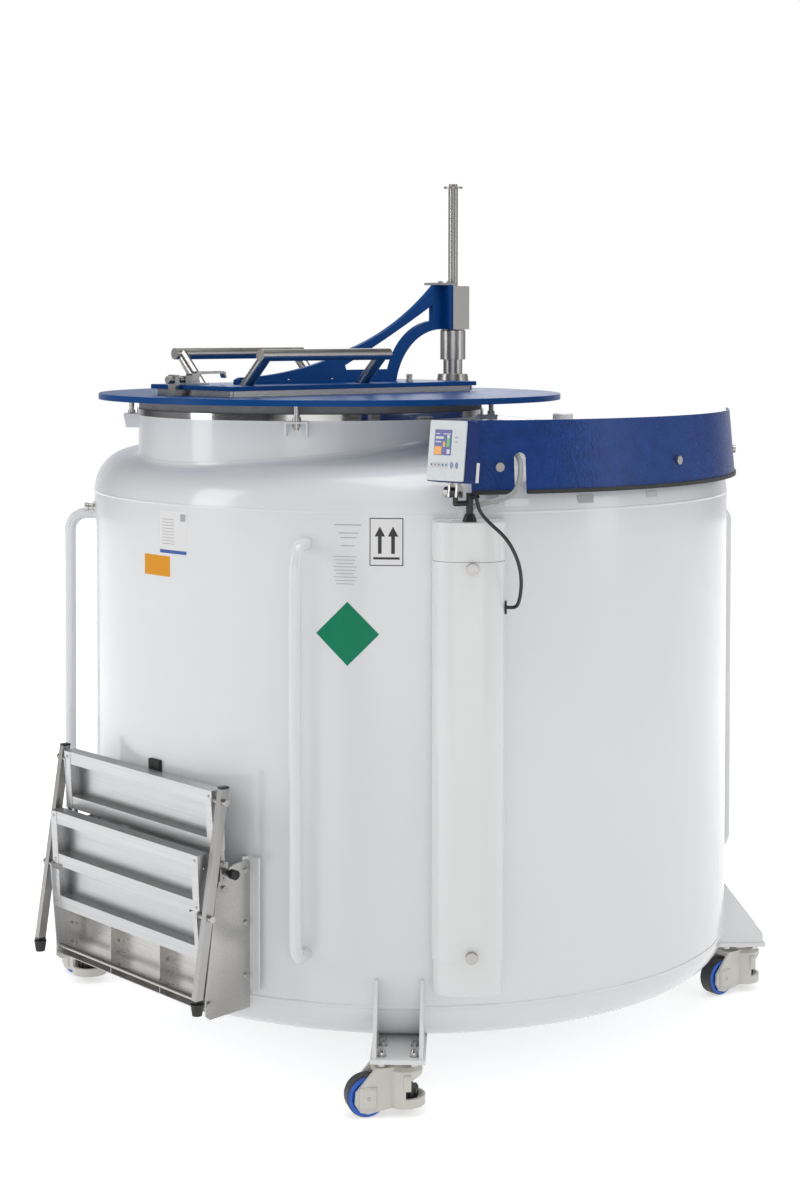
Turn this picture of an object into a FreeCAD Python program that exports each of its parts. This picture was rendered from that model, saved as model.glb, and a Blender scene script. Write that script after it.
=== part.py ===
import FreeCAD
import Part
import os
from math import atan2, cos, degrees, hypot, pi, radians, sin, sqrt

V = FreeCAD.Vector

# Frame: origin on the floor under the tank's axis, +Z up, casters on the X and Y axes

# Outer vessel
TANK_R = 800.0
SHELL_WALL = 5.0
SEAM_LOW_Z = 212.0
SEAM_HIGH_Z = 1303.0
TOP_KNUCKLE = 100.0
TOP_RISE = 188.0
LOW_KNUCKLE = 80.0
LOW_DROP = 146.0

# Inner vessel and its neck tube
INNER_R = 715.0
INNER_WALL = 4.0
INNER_LOW_Z = 242.0
INNER_HIGH_Z = 1240.0
INNER_KNUCKLE = 60.0
INNER_RISE = 110.0
INNER_DROP = 80.0
PIVOT_R = 15.0
PIVOT_COLLAR_R = 34.0
PIVOT_COLLAR_H = 60.0

# Neck, off centre on the diagonal between the front and left casters
LID_AXIS_DEG = 45.0
NECK_OFFSET = 336.0
NECK_R = 419.0
NECK_WALL = 4.0
NECK_BORE_R = 392.0
NECK_TOP_Z = 1497.0
FLANGE_T = 15.0
FLANGE_LIP = 4.0
GASKET_T = 22.0
GASKET_BAND = 22.0

# Main lid, a disc that rests on the gasket
LID_OFFSET = 273.0
LID_R = 567.0
LID_T = 14.0
OPENING_LENGTH = 688.0
OPENING_WIDTH = 224.0
OPENING_CORNER = 16.0
LID_CORE_DEPTH = 150.0
LID_CORE_GAP = 7.0
FRAME_T = 14.0
FRAME_BAND_SIDE = 32.0
FRAME_BAND_FRONT = 17.0
FRAME_BAND_REAR = 66.0

# Locating pins and their brackets around the neck
PIN_R = 6.0
PIN_HEAD_R = 9.0
PIN_STANDOFF = 22.0
PIN_DROP = 44.0
NECK_BRACKET_W = 52.0
NECK_BRACKET_H = 34.0
NECK_BRACKET_REACH = 38.0
SHEET_T = 4.0

# Small lid that lifts with its core
REST_GAP = 0.3
SMALL_LID_T = 10.5
SMALL_LID_OVERHANG = 12.0
SMALL_LID_CORNER = 8.0
CORE_CLEARANCE = 5.0
CORE_DEPTH = 176.0
CORE_CORNER = 12.0

# Lifting column on the main lid
COLUMN_AT = 151.0
POST_R = 12.5
POST_TOP_Z = 2068.0
POST_CAP_R = 24.5
POST_CAP_T = 5.0
POST_SCREW_R = 11.0
COLUMN_FLANGE_R = 50.5
COLUMN_FLANGE_H = 40.0
COLUMN_STEP_R = 25.0
COLUMN_STEP_H = 37.0
SLEEVE_R = 33.0
SLEEVE_H = 78.0
BORE_GAP = 0.06
BLOCK_FRONT = 32.0
BLOCK_BACK = 26.0
BLOCK_HALF_W = 34.0
BLOCK_H = 112.0
BLOCK_CAP_T = 6.0
ARM_T = 14.0
ARM_FLANGE_T = 40.0
ARM_TOE = -573.0
ARM_HEEL = -56.0
ARM_KNEE = 97.0
ARM_UNDER = (-8.0, 1660.0)
ARM_CREST = 79.0
ARM_BACK = ((-58.0, 1719.0), (-196.0, 1659.0), (-372.0, 1608.0))
ARM_NOSE = -560.0
ARM_WINDOW_TOP = ((71.0, 1766.0), (71.0, 1726.0))
ARM_WINDOW_UNDER = (-22.0, 1686.0)
ARM_WINDOW_LOW = ((-76.0, 1603.0), (-226.0, 1603.0), (-230.0, 1614.0))
ARM_WINDOW_OVER = (-80.0, 1686.0)

# Tube grips on the small lid
GRIP_R = 14.0
GRIP_WALL = 2.0
GRIP_BAR_Z = 1644.0
GRIP_FOOT_W = 88.0
GRIP_BAR_W = 162.0
GRIP_FRONT_LEG = -610.0
GRIP_REAR_LEG = -247.0
GRIP_OVERHANG = 20.0

# Latch at the front of the small lid
LATCH_SIDE = 45.0
DRAW_Z = 1585.0
DRAW_R = 4.5
DRAW_HEAD_R = 9.0
DRAW_HEAD_T = 13.0
DRAW_TRAVEL = 8.0
DRAW_NUT_R = 7.5
KEEPER_AT = -727.0
KEEPER_T = 12.0
KEEPER_W = 28.0
KEEPER_SLOT = 11.0
LATCH_BASE_FRONT = -694.0
LATCH_BASE_LENGTH = 68.0
LATCH_BASE_W = 24.0
LEVER_PIN_AT = -664.0
LEVER_PIN_R = 3.0
LEVER_LENGTH = 94.0
LEVER_T = 6.0
LEVER_W = 18.0

# Turning rack inside the tank
RACK_R = 688.0
RACK_FLOOR_T = 6.0
RACK_HUB_R = 45.0
RACK_HEIGHT = 860.0
RACK_FINS = 8
RACK_FIN_T = 3.0
RACK_RUNNING_GAP = 0.05

# Caps on the dome
CAP_ROOT_Z = 1400.0
VACUUM_CAP_AT = (389.0, 10.0, 0.0)
VACUUM_CAP_R = 26.0
VACUUM_CAP_H = 34.0
VACUUM_CAP_TOP_Z = 1490.0
SENSOR_CAP_AT = (186.0, -560.0, 0.0)
SENSOR_CAP_R = 35.0
SENSOR_CAP_H = 27.0
SENSOR_CAP_TOP_Z = 1497.0
CAP_NECK_INSET = 5.0

# Tube handles on the wall
HANDLE_R = 14.0
HANDLE_STANDOFF = 70.0
HANDLE_AXIS_R = TANK_R + HANDLE_STANDOFF
HANDLE_LOW_Z = 321.0
HANDLE_HIGH_Z = 1232.0
HANDLE_BEND = 42.0
HANDLE_ANGLES = (16.5, 182.0, 254.9)

# Caster brackets
BRACKET_REACH = 110.0
BRACKET_OUT = TANK_R + BRACKET_REACH
SWIVEL_INSET = 60.0
SWIVEL_AT = BRACKET_OUT - SWIVEL_INSET
BRACKET_PLATE_Z = 123.4
BRACKET_PLATE_T = 10.0
BRACKET_W = 120.0
GUSSET_T = 8.5
GUSSET_APART = 101.0
GUSSET_TOP_Z = 275.0
GUSSET_LAND = 12.0
GUSSET_NOSE = 24.0
BOLT_PITCH = 70.0
BOLT_R = 5.0
BOLT_HOLE_R = 5.5
CAP_NUT_R = 8.5
CAP_NUT_H = 15.0
WASHER_R = 10.0
WASHER_T = 2.0

# Levelling casters
CASTER_ANGLES = (270.0, 4.0, 90.0, 175.0)
CASTER_HEADINGS = (197.0, 219.0, 60.0, 125.0)
TOP_PLATE = 92.0
TOP_PLATE_T = 4.0
RACE_R = 29.0
RACE_H = 8.0
WHEEL_R = 45.0
WHEEL_W = 38.0
WHEEL_TRAIL = 74.0
TYRE_T = 9.0
AXLE_R = 6.0
FORK_GAP = 2.0
FORK_T = 6.0
FORK_TOP_Z = 108.0
AXLE_BOSS_W = 39.0
AXLE_BOSS_H = 47.0
AXLE_BOSS_T = 6.0
FOOT_OFFSET = 14.0
GUARD_R = 45.0
GUARD_INNER_R = 38.0
GUARD_LOW_Z = 20.0
GUARD_HIGH_Z = 40.0
WINDOW_FROM = 5.0
WINDOW_HIGH_Z = 80.0
THUMB_R = 30.0
THUMB_ROOM_GAP = 3.0
THUMB_LOW_Z = 35.0
THUMB_T = 22.0
THUMB_ROOM_HIGH_Z = 61.0
FOOT_BOSS_R = 14.0
PAD_R = 23.0
PAD_LOW_Z = 20.0
PAD_T = 11.0
STEM_R = 8.0
STEM_GAP = 0.3

# Electrical pillar on the wall
PILLAR_X = 150.0
PILLAR_W = 158.0
PILLAR_DEPTH = 90.0
PILLAR_FRONT = TANK_R + PILLAR_DEPTH
PILLAR_BACK_DEPTH = 150.0
PILLAR_ROUND = 55.0
PILLAR_LOW_Z = 264.0
PILLAR_TOP_Z = 1290.0
PILLAR_COVER_LOW_Z = 338.0
PILLAR_COVER_TOP_Z = 1205.0
PILLAR_COVER_T = 3.0
PILLAR_KNOB_R = 13.0
PILLAR_KNOB_T = 14.0
PILLAR_KNOB_INSET = 14.0
GROMMET_Z = 1102.0
GROMMET_R = 11.0

# Skirt around the shoulder
COVER_LOW_Z = 1347.0
COVER_HIGH_Z = 1506.0
COVER_STANDOFF = 20.0
COVER_LOW_R = TANK_R + COVER_STANDOFF
COVER_TAPER = 14.0
COVER_HIGH_R = COVER_LOW_R - COVER_TAPER
COVER_T = 3.0
COVER_FROM_DEG = -79.0
COVER_TO_DEG = 0.4
TRIM_H = 9.0
TRIM_T = 3.0
COVER_SCREW_Z = 1404.0
COVER_SCREW_HEAD_R = 10.0
COVER_SCREW_HEAD_T = 7.0
COVER_POST_R = 8.0
COVER_STUD_R = 3.0
COVER_SCREW_ANGLES = (-74.6, -39.3, -4.0)
KEYHOLE_ANGLE = -71.2
KEYHOLE_W = 28.0
KEYHOLE_TOP_Z = 1435.0

# Display on its stand
DISPLAY_YAW = -35.0
DISPLAY_TILT = -7.0
DISPLAY_W = 100.0
DISPLAY_H = 134.0
DISPLAY_D = 44.0
DISPLAY_FRONT = 43.0
DISPLAY_CORNER = 6.0
PANEL_T = 3.0
PANEL_INSET = 2.0
HINGE_POINT = (PILLAR_X - 29.0, -PILLAR_FRONT + 24.0, PILLAR_TOP_Z + 64.0)
HINGE_DROP = 20.0
EYE_R = 11.0
EYE_W = 14.0
LUG_T = 5.0
LUG_GAP = 0.3
HINGE_PIN_R = 4.0
STAND_POINT = (PILLAR_X + 2.0, -PILLAR_FRONT + 40.0)
STAND_R = 8.0
STAND_NECK_R = 6.0
STAND_DROP = 24.0
STAND_BASE_R = 15.5
STAND_BASE_T = 3.0
STAND_SLEEVE_H = 22.0
KNOB_R = 12.0
KNOB_T = 12.0

# Free cord and hose
CABLE_R = 4.0
HOSE_R = 6.0

# Folding steps, in a frame whose +X points out from the wall
STEPS_ANGLE = 223.0
STEPS_HALF_W = 306.0
CARRIER_T = 3.0
CARRIER_BACK = TANK_R - 54.0
CARRIER_LOW_FRONT = TANK_R + 68.0
CARRIER_LOW_Z = 182.0
CARRIER_TOP_Z = 522.0
CARRIER_TOP_FRONT = TANK_R + 26.0
BACK_SHEET_AT = TANK_R + 18.0
BACK_SHEET_TOP_Z = 440.0
RIB_SPREAD = 100.0
RIB_DEPTH = 30.0
RIB_FLANGE = 22.0
RIB_TOP_Z = 300.0
RAIL_LOW_Z = 229.0
RAIL_HIGH_Z = 528.0
RAIL_W = 20.0
RAIL_WING = 32.0
UPPER_PIVOT = (TANK_R + 18.0, 466.0)
PIVOT_STEP = (39.0, -250.0)
CRANK = 200.0
CRANK_LEAN = 5.0
TREAD_LEAN = 3.0
TREAD_GAP = 3.0
TREAD_DEPTH = 30.0
TREAD_SHEET = 3.0
TREAD_BAR = 30.0
TREAD_STRIP = 24.0
LOWER_FACE_AT = TANK_R + 79.0
LOWER_TREAD_Z = (314.0, 549.0)
UPPER_FACE_AT = TANK_R + 43.0
UPPER_TREAD_Z = (549.0, 687.0)
ARM_W = 26.0
ARM_SLOT_FROM = 58.0
ARM_SLOT_LENGTH = 20.0
ARM_SLOT_W = 7.0
AXLE_ROD_R = 5.0
PIVOT_GAP = 0.06
LEG_GAP = 8.0
LEG_T = 16.0
LEG_D = 20.0
LEG_WALL = 2.0
LEG_LOW_Z = 238.0
LEG_TOP_Z = 695.0
LEG_PIVOT_GAP = 0.5
FOOT_R = 15.0
FOOT_H = 26.0
FOOT_STEM_R = 5.0
FOOT_STEM_H = 6.0
NUT_R = 7.5
NUT_H = 12.0
PLUNGER_AT = 40.0
PLUNGER_PIN_R = 4.0
PLUNGER_TRAVEL = 8.0
PLUNGER_KNOB_R = 11.0
FOLD_DEG = 87.0


# Basic shapes

def box(x0, x1, y0, y1, z0, z1):
    return Part.makeBox(x1 - x0, y1 - y0, z1 - z0, V(x0, y0, z0))


def rod(radius, start, end):
    start = V(*start)
    along = V(*end) - start
    return Part.makeCylinder(radius, along.Length, start, along)


def turned(points, angle=360.0):
    """Solid of revolution about Z from (radius, z) points."""
    wire = Part.makePolygon([V(r, 0, z) for r, z in points + points[:1]])
    return Part.Face(wire).revolve(V(0, 0, 0), V(0, 0, 1), angle)


def plate_xz(points, y0, y1):
    """Flat plate from an (x, z) outline, between two y values."""
    wire = Part.makePolygon([V(x, y0, z) for x, z in points + points[:1]])
    return Part.Face(wire).extrude(V(0, y1 - y0, 0))


def rounded_slab(x0, x1, y0, y1, z0, z1, corner):
    slab = box(x0, x1, y0, y1, z0, z1)
    upright = [e for e in slab.Edges if abs(e.Vertexes[0].Z - e.Vertexes[-1].Z) > 0.5 * (z1 - z0)]
    return slab.makeFillet(corner, upright)


def placed(shape, angle, at=(0, 0, 0)):
    """Copy turned about Z and then moved."""
    copy = shape.copy()
    copy.rotate(V(0, 0, 0), V(0, 0, 1), angle)
    copy.translate(V(*at))
    return copy


def fused(shapes):
    whole = shapes[0]
    if len(shapes) > 1:
        whole = whole.fuse(shapes[1:])
    return whole.removeSplitter()


def group(shapes):
    return Part.makeCompound(shapes)


# Vessel forms

def crown_radius(radius, knuckle, rise):
    side = radius - knuckle
    return (side ** 2 + rise ** 2 - knuckle ** 2) / (2.0 * (rise - knuckle))


def head_edges(radius, seam_z, knuckle, rise, up):
    """Knuckle arc and crown arc of a dished head, from the wall to the axis."""
    crown = crown_radius(radius, knuckle, rise)
    lean = atan2(radius - knuckle, crown - rise)
    side = radius - knuckle
    wall = V(radius, 0, seam_z)
    half = (pi / 2 - lean) / 2
    middle = V(side + knuckle * cos(half), 0, seam_z + up * knuckle * sin(half))
    tangent = V(side + knuckle * sin(lean), 0, seam_z + up * knuckle * cos(lean))
    apex = V(0, 0, seam_z + up * rise)
    centre_z = rise - crown
    bow = V(crown * sin(lean / 2), 0, seam_z + up * (centre_z + crown * cos(lean / 2)))
    knuckle_arc = Part.Arc(wall, middle, tangent).toShape()
    crown_arc = Part.Arc(tangent, bow, apex).toShape()
    return [knuckle_arc, crown_arc]


def vessel_solid(radius, low_z, high_z, low_knuckle, drop, top_knuckle, rise):
    top = head_edges(radius, high_z, top_knuckle, rise, 1)
    low = head_edges(radius, low_z, low_knuckle, drop, -1)
    wall = Part.makeLine(V(radius, 0, low_z), V(radius, 0, high_z))
    axis = Part.makeLine(V(0, 0, high_z + rise), V(0, 0, low_z - drop))
    wire = Part.Wire(Part.__sortEdges__(top + low + [wall, axis]))
    return Part.Face(wire).revolve(V(0, 0, 0), V(0, 0, 1), 360)


def on_lid_axis(r, w=0.0, z=0.0):
    """Point in the tank's frame from a place along and across the lid's axis."""
    a = radians(LID_AXIS_DEG)
    return (r * cos(a) + w * sin(a), r * sin(a) - w * cos(a), z)


NECK_XY = on_lid_axis(-NECK_OFFSET)
LID_XY = on_lid_axis(-LID_OFFSET)
FLANGE_TOP_Z = NECK_TOP_Z + FLANGE_T
LID_LOW_Z = FLANGE_TOP_Z + GASKET_T
LID_TOP_Z = LID_LOW_Z + LID_T
FRAME_TOP_Z = LID_TOP_Z + FRAME_T
SMALL_LID_LOW_Z = FRAME_TOP_Z + REST_GAP
SMALL_LID_TOP_Z = SMALL_LID_LOW_Z + SMALL_LID_T

OUTER_BODY = vessel_solid(TANK_R, SEAM_LOW_Z, SEAM_HIGH_Z, LOW_KNUCKLE, LOW_DROP, TOP_KNUCKLE, TOP_RISE)


def neck_ring(outer, inner, z0, z1):
    ring = Part.makeCylinder(outer, z1 - z0).cut(Part.makeCylinder(inner, z1 - z0))
    ring.translate(V(NECK_XY[0], NECK_XY[1], z0))
    return ring


def neck_disc(radius, z0, z1):
    disc = Part.makeCylinder(radius, z1 - z0)
    disc.translate(V(NECK_XY[0], NECK_XY[1], z0))
    return disc


def between(shape, z0, z1):
    """Part of a shape between two heights."""
    reach = 2 * TANK_R
    return shape.common(box(-reach, reach, -reach, reach, z0, z1))


def outer_vessel():
    """Wall ring with the rails, two dished heads and the neck, welded at the seams."""
    inside = vessel_solid(
        TANK_R - SHELL_WALL, SEAM_LOW_Z, SEAM_HIGH_Z,
        LOW_KNUCKLE - SHELL_WALL, LOW_DROP - SHELL_WALL,
        TOP_KNUCKLE - SHELL_WALL, TOP_RISE - SHELL_WALL)
    bore = neck_disc(NECK_R - NECK_WALL, SEAM_HIGH_Z - TOP_KNUCKLE, NECK_TOP_Z + 50)
    shell = OUTER_BODY.cut(inside)
    wall = fused([between(shell, SEAM_LOW_Z, SEAM_HIGH_Z)] + carrier_rails())
    top_head = between(shell, SEAM_HIGH_Z, SEAM_HIGH_Z + TOP_RISE).cut(bore)
    low_head = between(shell, SEAM_LOW_Z - LOW_DROP, SEAM_LOW_Z)
    neck = neck_disc(NECK_R, SEAM_HIGH_Z, NECK_TOP_Z).cut(OUTER_BODY).cut(bore)
    return group([wall.cut(bore), top_head, low_head, neck])


def inner_vessel():
    """Wall ring, two dished heads, pivot with its collar, and neck tube with its flange."""
    outside = vessel_solid(
        INNER_R, INNER_LOW_Z, INNER_HIGH_Z, INNER_KNUCKLE, INNER_DROP, INNER_KNUCKLE, INNER_RISE)
    inside = vessel_solid(
        INNER_R - INNER_WALL, INNER_LOW_Z, INNER_HIGH_Z,
        INNER_KNUCKLE - INNER_WALL, INNER_DROP - INNER_WALL,
        INNER_KNUCKLE - INNER_WALL, INNER_RISE - INNER_WALL)
    bore = neck_disc(NECK_BORE_R, INNER_HIGH_Z - 100, NECK_TOP_Z)
    shell = outside.cut(inside)
    wall = between(shell, INNER_LOW_Z, INNER_HIGH_Z).cut(bore)
    top_head = between(shell, INNER_HIGH_Z, INNER_HIGH_Z + INNER_RISE).cut(bore)
    low_head = between(shell, INNER_LOW_Z - INNER_DROP, INNER_LOW_Z)
    floor_z = INNER_LOW_Z - INNER_DROP
    collar = Part.makeCylinder(PIVOT_COLLAR_R, PIVOT_COLLAR_H + 2, V(0, 0, floor_z + 2))
    pivot = Part.makeCylinder(PIVOT_R, PIVOT_COLLAR_H + 120, V(0, 0, floor_z + 2))
    stand = fused([collar, pivot]).cut(outside.cut(inside))
    tube = neck_disc(NECK_BORE_R + INNER_WALL, INNER_HIGH_Z, NECK_TOP_Z).cut(outside).cut(bore)
    flange = neck_ring(NECK_R + FLANGE_LIP, NECK_BORE_R, NECK_TOP_Z, FLANGE_TOP_Z)
    return group([wall, top_head, low_head, stand, fused([tube, flange])])


def neck_gasket():
    return neck_ring(NECK_R - 1, NECK_R - 1 - GASKET_BAND, FLANGE_TOP_Z, LID_LOW_Z)


# Neck brackets and pins

def around_neck(shape):
    return [placed(shape, a, (NECK_XY[0], NECK_XY[1], 0)) for a in (0, 90, 180, 270)]


def neck_brackets():
    top_z = NECK_TOP_Z
    half = NECK_BRACKET_W / 2
    reach = NECK_R + NECK_BRACKET_REACH
    flange = box(NECK_R - 8, reach, -half, half, top_z - SHEET_T, top_z)
    cheek_outline = [
        (NECK_R - 8, top_z - SHEET_T), (reach, top_z - SHEET_T),
        (reach - 6, top_z - NECK_BRACKET_H), (NECK_R - 8, top_z - NECK_BRACKET_H)]
    cheeks = [plate_xz(cheek_outline, y, y + SHEET_T) for y in (-half, half - SHEET_T)]
    bracket = fused([flange] + cheeks)
    hole = Part.makeCylinder(PIN_R, 60, V(NECK_R + PIN_STANDOFF, 0, top_z - 30))
    neck = Part.makeCylinder(NECK_R, 200, V(0, 0, top_z - 100))
    bracket = bracket.cut(hole).cut(neck)
    return group([b.cut(OUTER_BODY) for b in around_neck(bracket)])


def locating_pins():
    x = NECK_R + PIN_STANDOFF
    pin = rod(PIN_R, (x, 0, LID_LOW_Z - PIN_DROP - 12), (x, 0, LID_LOW_Z))
    collar = rod(PIN_HEAD_R, (x, 0, NECK_TOP_Z), (x, 0, NECK_TOP_Z + 8))
    nut = rod(PIN_HEAD_R, (x, 0, NECK_TOP_Z - SHEET_T - 9), (x, 0, NECK_TOP_Z - SHEET_T))
    return group(around_neck(fused([pin, collar, nut])))


# Main lid. Places on it are (along, across) the lid's axis, with +Y to the left of it

def lid_frame_shape(shape):
    return placed(shape, LID_AXIS_DEG)


def opening_slab(grow, z0, z1, corner):
    x0 = -NECK_OFFSET - OPENING_LENGTH / 2 - grow
    x1 = -NECK_OFFSET + OPENING_LENGTH / 2 + grow
    half = OPENING_WIDTH / 2 + grow
    return rounded_slab(x0, x1, -half, half, z0, z1, corner)


def main_lid():
    disc = Part.makeCylinder(LID_R, LID_T, V(-LID_OFFSET, 0, LID_LOW_Z))
    rim = [e for e in disc.Edges if e.Closed and abs(e.Vertexes[0].Z - LID_TOP_Z) < 0.01]
    disc = disc.makeChamfer(1.5, rim)
    disc = disc.cut(opening_slab(0, LID_LOW_Z - 1, LID_TOP_Z + 1, OPENING_CORNER))
    return lid_frame_shape(disc)


def lid_core():
    low_z = LID_LOW_Z - LID_CORE_DEPTH
    core = Part.makeCylinder(NECK_BORE_R - LID_CORE_GAP, LID_CORE_DEPTH, V(-NECK_OFFSET, 0, low_z))
    core = core.cut(opening_slab(0, low_z - 1, LID_LOW_Z + 1, OPENING_CORNER))
    return lid_frame_shape(core)


FRAME_X0 = -NECK_OFFSET - OPENING_LENGTH / 2 - FRAME_BAND_FRONT
FRAME_X1 = -NECK_OFFSET + OPENING_LENGTH / 2 + FRAME_BAND_REAR
FRAME_HALF_W = OPENING_WIDTH / 2 + FRAME_BAND_SIDE


def lid_frame():
    ring = rounded_slab(FRAME_X0, FRAME_X1, -FRAME_HALF_W, FRAME_HALF_W, LID_TOP_Z, FRAME_TOP_Z, 6)
    ring = ring.cut(opening_slab(0, LID_TOP_Z - 1, FRAME_TOP_Z + 1, OPENING_CORNER))
    return lid_frame_shape(ring)


# Small lid with its core

def small_lid():
    over = SMALL_LID_OVERHANG
    slab = rounded_slab(
        FRAME_X0 - over, FRAME_X1 + over, -FRAME_HALF_W - over, FRAME_HALF_W + over,
        SMALL_LID_LOW_Z, SMALL_LID_TOP_Z, SMALL_LID_CORNER)
    top = [e for e in slab.Edges if min(v.Z for v in e.Vertexes) > SMALL_LID_TOP_Z - 0.01]
    return lid_frame_shape(slab.makeChamfer(1.5, top))


def small_lid_core():
    low_z = SMALL_LID_LOW_Z - CORE_DEPTH
    return lid_frame_shape(opening_slab(-CORE_CLEARANCE, low_z, SMALL_LID_LOW_Z, CORE_CORNER))


def grip(side):
    foot_y = side * GRIP_FOOT_W
    bar_y = side * GRIP_BAR_W
    foot_z = SMALL_LID_TOP_Z
    legs = []
    for x in (GRIP_FRONT_LEG, GRIP_REAR_LEG):
        lean = V(0, bar_y - foot_y, GRIP_BAR_Z - foot_z)
        start = V(x, foot_y, foot_z) - lean * 0.3
        legs.append(Part.makeCylinder(GRIP_R, lean.Length * 1.3, start, lean))
    bar_start = (GRIP_FRONT_LEG - GRIP_OVERHANG, bar_y, GRIP_BAR_Z)
    bar_end = (GRIP_REAR_LEG + GRIP_OVERHANG, bar_y, GRIP_BAR_Z)
    bar = rod(GRIP_R, bar_start, bar_end)
    bore = rod(GRIP_R - GRIP_WALL, bar_start, bar_end)
    plugs = [rod(GRIP_R - GRIP_WALL, (x, bar_y, GRIP_BAR_Z), (x + d, bar_y, GRIP_BAR_Z))
             for x, d in ((bar_start[0], 6), (bar_end[0], -6))]
    below = box(-1000, 400, -400, 400, foot_z - 200, foot_z)
    legs = [leg.cut(below).cut(bore) for leg in legs]
    return fused([bar.cut(bore)] + plugs + legs)


def lid_grips():
    return group([lid_frame_shape(grip(side)) for side in (-1, 1)])


# Lifting column

SLEEVE_LOW_Z = LID_TOP_Z + COLUMN_FLANGE_H + COLUMN_STEP_H
SLEEVE_TOP_Z = SLEEVE_LOW_Z + SLEEVE_H
BLOCK_LOW_Z = SLEEVE_TOP_Z + REST_GAP
BLOCK_TOP_Z = BLOCK_LOW_Z + BLOCK_H


def column_base():
    low = LID_TOP_Z
    profile = [
        (POST_R, low), (COLUMN_FLANGE_R, low), (COLUMN_FLANGE_R, low + 12),
        (COLUMN_FLANGE_R - 8, low + 16), (COLUMN_FLANGE_R - 12, low + COLUMN_FLANGE_H),
        (COLUMN_STEP_R, low + COLUMN_FLANGE_H), (COLUMN_STEP_R, SLEEVE_LOW_Z),
        (SLEEVE_R, SLEEVE_LOW_Z), (SLEEVE_R, SLEEVE_TOP_Z - 3),
        (SLEEVE_R - 3, SLEEVE_TOP_Z), (POST_R, SLEEVE_TOP_Z)]
    return placed(turned(profile), 0, on_lid_axis(COLUMN_AT))


def lift_post():
    shaft = Part.makeCylinder(POST_R, POST_TOP_Z - LID_TOP_Z, V(0, 0, LID_TOP_Z))
    washer = Part.makeCylinder(POST_CAP_R, POST_CAP_T, V(0, 0, POST_TOP_Z))
    head = Part.makeCylinder(POST_SCREW_R, 7, V(0, 0, POST_TOP_Z + POST_CAP_T))
    socket = Part.makeCylinder(5, 5, V(0, 0, POST_TOP_Z + POST_CAP_T + 2))
    return placed(fused([shaft, washer, head]).cut(socket), 0, on_lid_axis(COLUMN_AT))


def lift_block():
    block = box(
        COLUMN_AT - BLOCK_FRONT, COLUMN_AT + BLOCK_BACK, -BLOCK_HALF_W, BLOCK_HALF_W,
        BLOCK_LOW_Z, BLOCK_TOP_Z)
    bore = Part.makeCylinder(POST_R + BORE_GAP, BLOCK_H + 2, V(COLUMN_AT, 0, BLOCK_LOW_Z - 1))
    return lid_frame_shape(block.cut(bore))


def arc_through(a, b, c):
    return Part.Arc(V(a[0], 0, a[1]), V(b[0], 0, b[1]), V(c[0], 0, c[1])).toShape()


def line_xz(a, b):
    return Part.makeLine(V(a[0], 0, a[1]), V(b[0], 0, b[1]))


def lift_arm():
    """Curved arm cut from one plate, with its flange against the block and a foot on the lid."""
    foot_z = SMALL_LID_TOP_Z
    face = COLUMN_AT - BLOCK_FRONT
    top = BLOCK_TOP_Z + 2
    toe = (ARM_TOE, foot_z)
    heel = (ARM_HEEL, foot_z)
    knee = (ARM_KNEE, BLOCK_LOW_Z)
    crest = (ARM_CREST, top)
    nose = (ARM_NOSE, foot_z + 16)
    outline = [
        line_xz(toe, heel),
        arc_through(heel, ARM_UNDER, knee),
        line_xz(knee, (face, BLOCK_LOW_Z)),
        line_xz((face, BLOCK_LOW_Z), (face, top)),
        line_xz((face, top), crest),
        arc_through(crest, ARM_BACK[0], ARM_BACK[1]),
        arc_through(ARM_BACK[1], ARM_BACK[2], nose),
        line_xz(nose, (toe[0], foot_z + 10)),
        line_xz((toe[0], foot_z + 10), toe)]
    arm = Part.Face(Part.Wire(outline)).extrude(V(0, ARM_T, 0))
    window = [
        line_xz(ARM_WINDOW_TOP[0], ARM_WINDOW_TOP[1]),
        arc_through(ARM_WINDOW_TOP[1], ARM_WINDOW_UNDER, ARM_WINDOW_LOW[0]),
        line_xz(ARM_WINDOW_LOW[0], ARM_WINDOW_LOW[1]),
        line_xz(ARM_WINDOW_LOW[1], ARM_WINDOW_LOW[2]),
        arc_through(ARM_WINDOW_LOW[2], ARM_WINDOW_OVER, ARM_WINDOW_TOP[0])]
    hole = Part.Face(Part.Wire(window)).extrude(V(0, ARM_T, 0))
    arm = arm.cut(hole)
    arm.translate(V(0, -ARM_T / 2, 0))
    flange = box(face - ARM_T, face, -BLOCK_HALF_W + 2, BLOCK_HALF_W - 2, BLOCK_LOW_Z, top)
    foot = box(toe[0] + 20, heel[0] - 14, -ARM_FLANGE_T / 2, ARM_FLANGE_T / 2, foot_z, foot_z + 8)
    return lid_frame_shape(fused([arm, flange, foot]))


def block_cap():
    """Thin plate over the block, with two button screws."""
    z = BLOCK_TOP_Z + 2
    plate = box(COLUMN_AT - 75, COLUMN_AT - POST_R - 1, -BLOCK_HALF_W + 4, BLOCK_HALF_W - 4, z, z + BLOCK_CAP_T)
    seat = box(
        COLUMN_AT - BLOCK_FRONT + 0.2, COLUMN_AT - POST_R - 1, -BLOCK_HALF_W + 4, BLOCK_HALF_W - 4,
        BLOCK_TOP_Z, z)
    heads = [Part.makeCylinder(6, 5, V(COLUMN_AT - 30, y, z + BLOCK_CAP_T)) for y in (-16, 16)]
    return lid_frame_shape(fused([plate, seat] + heads))


# Latch

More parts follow.
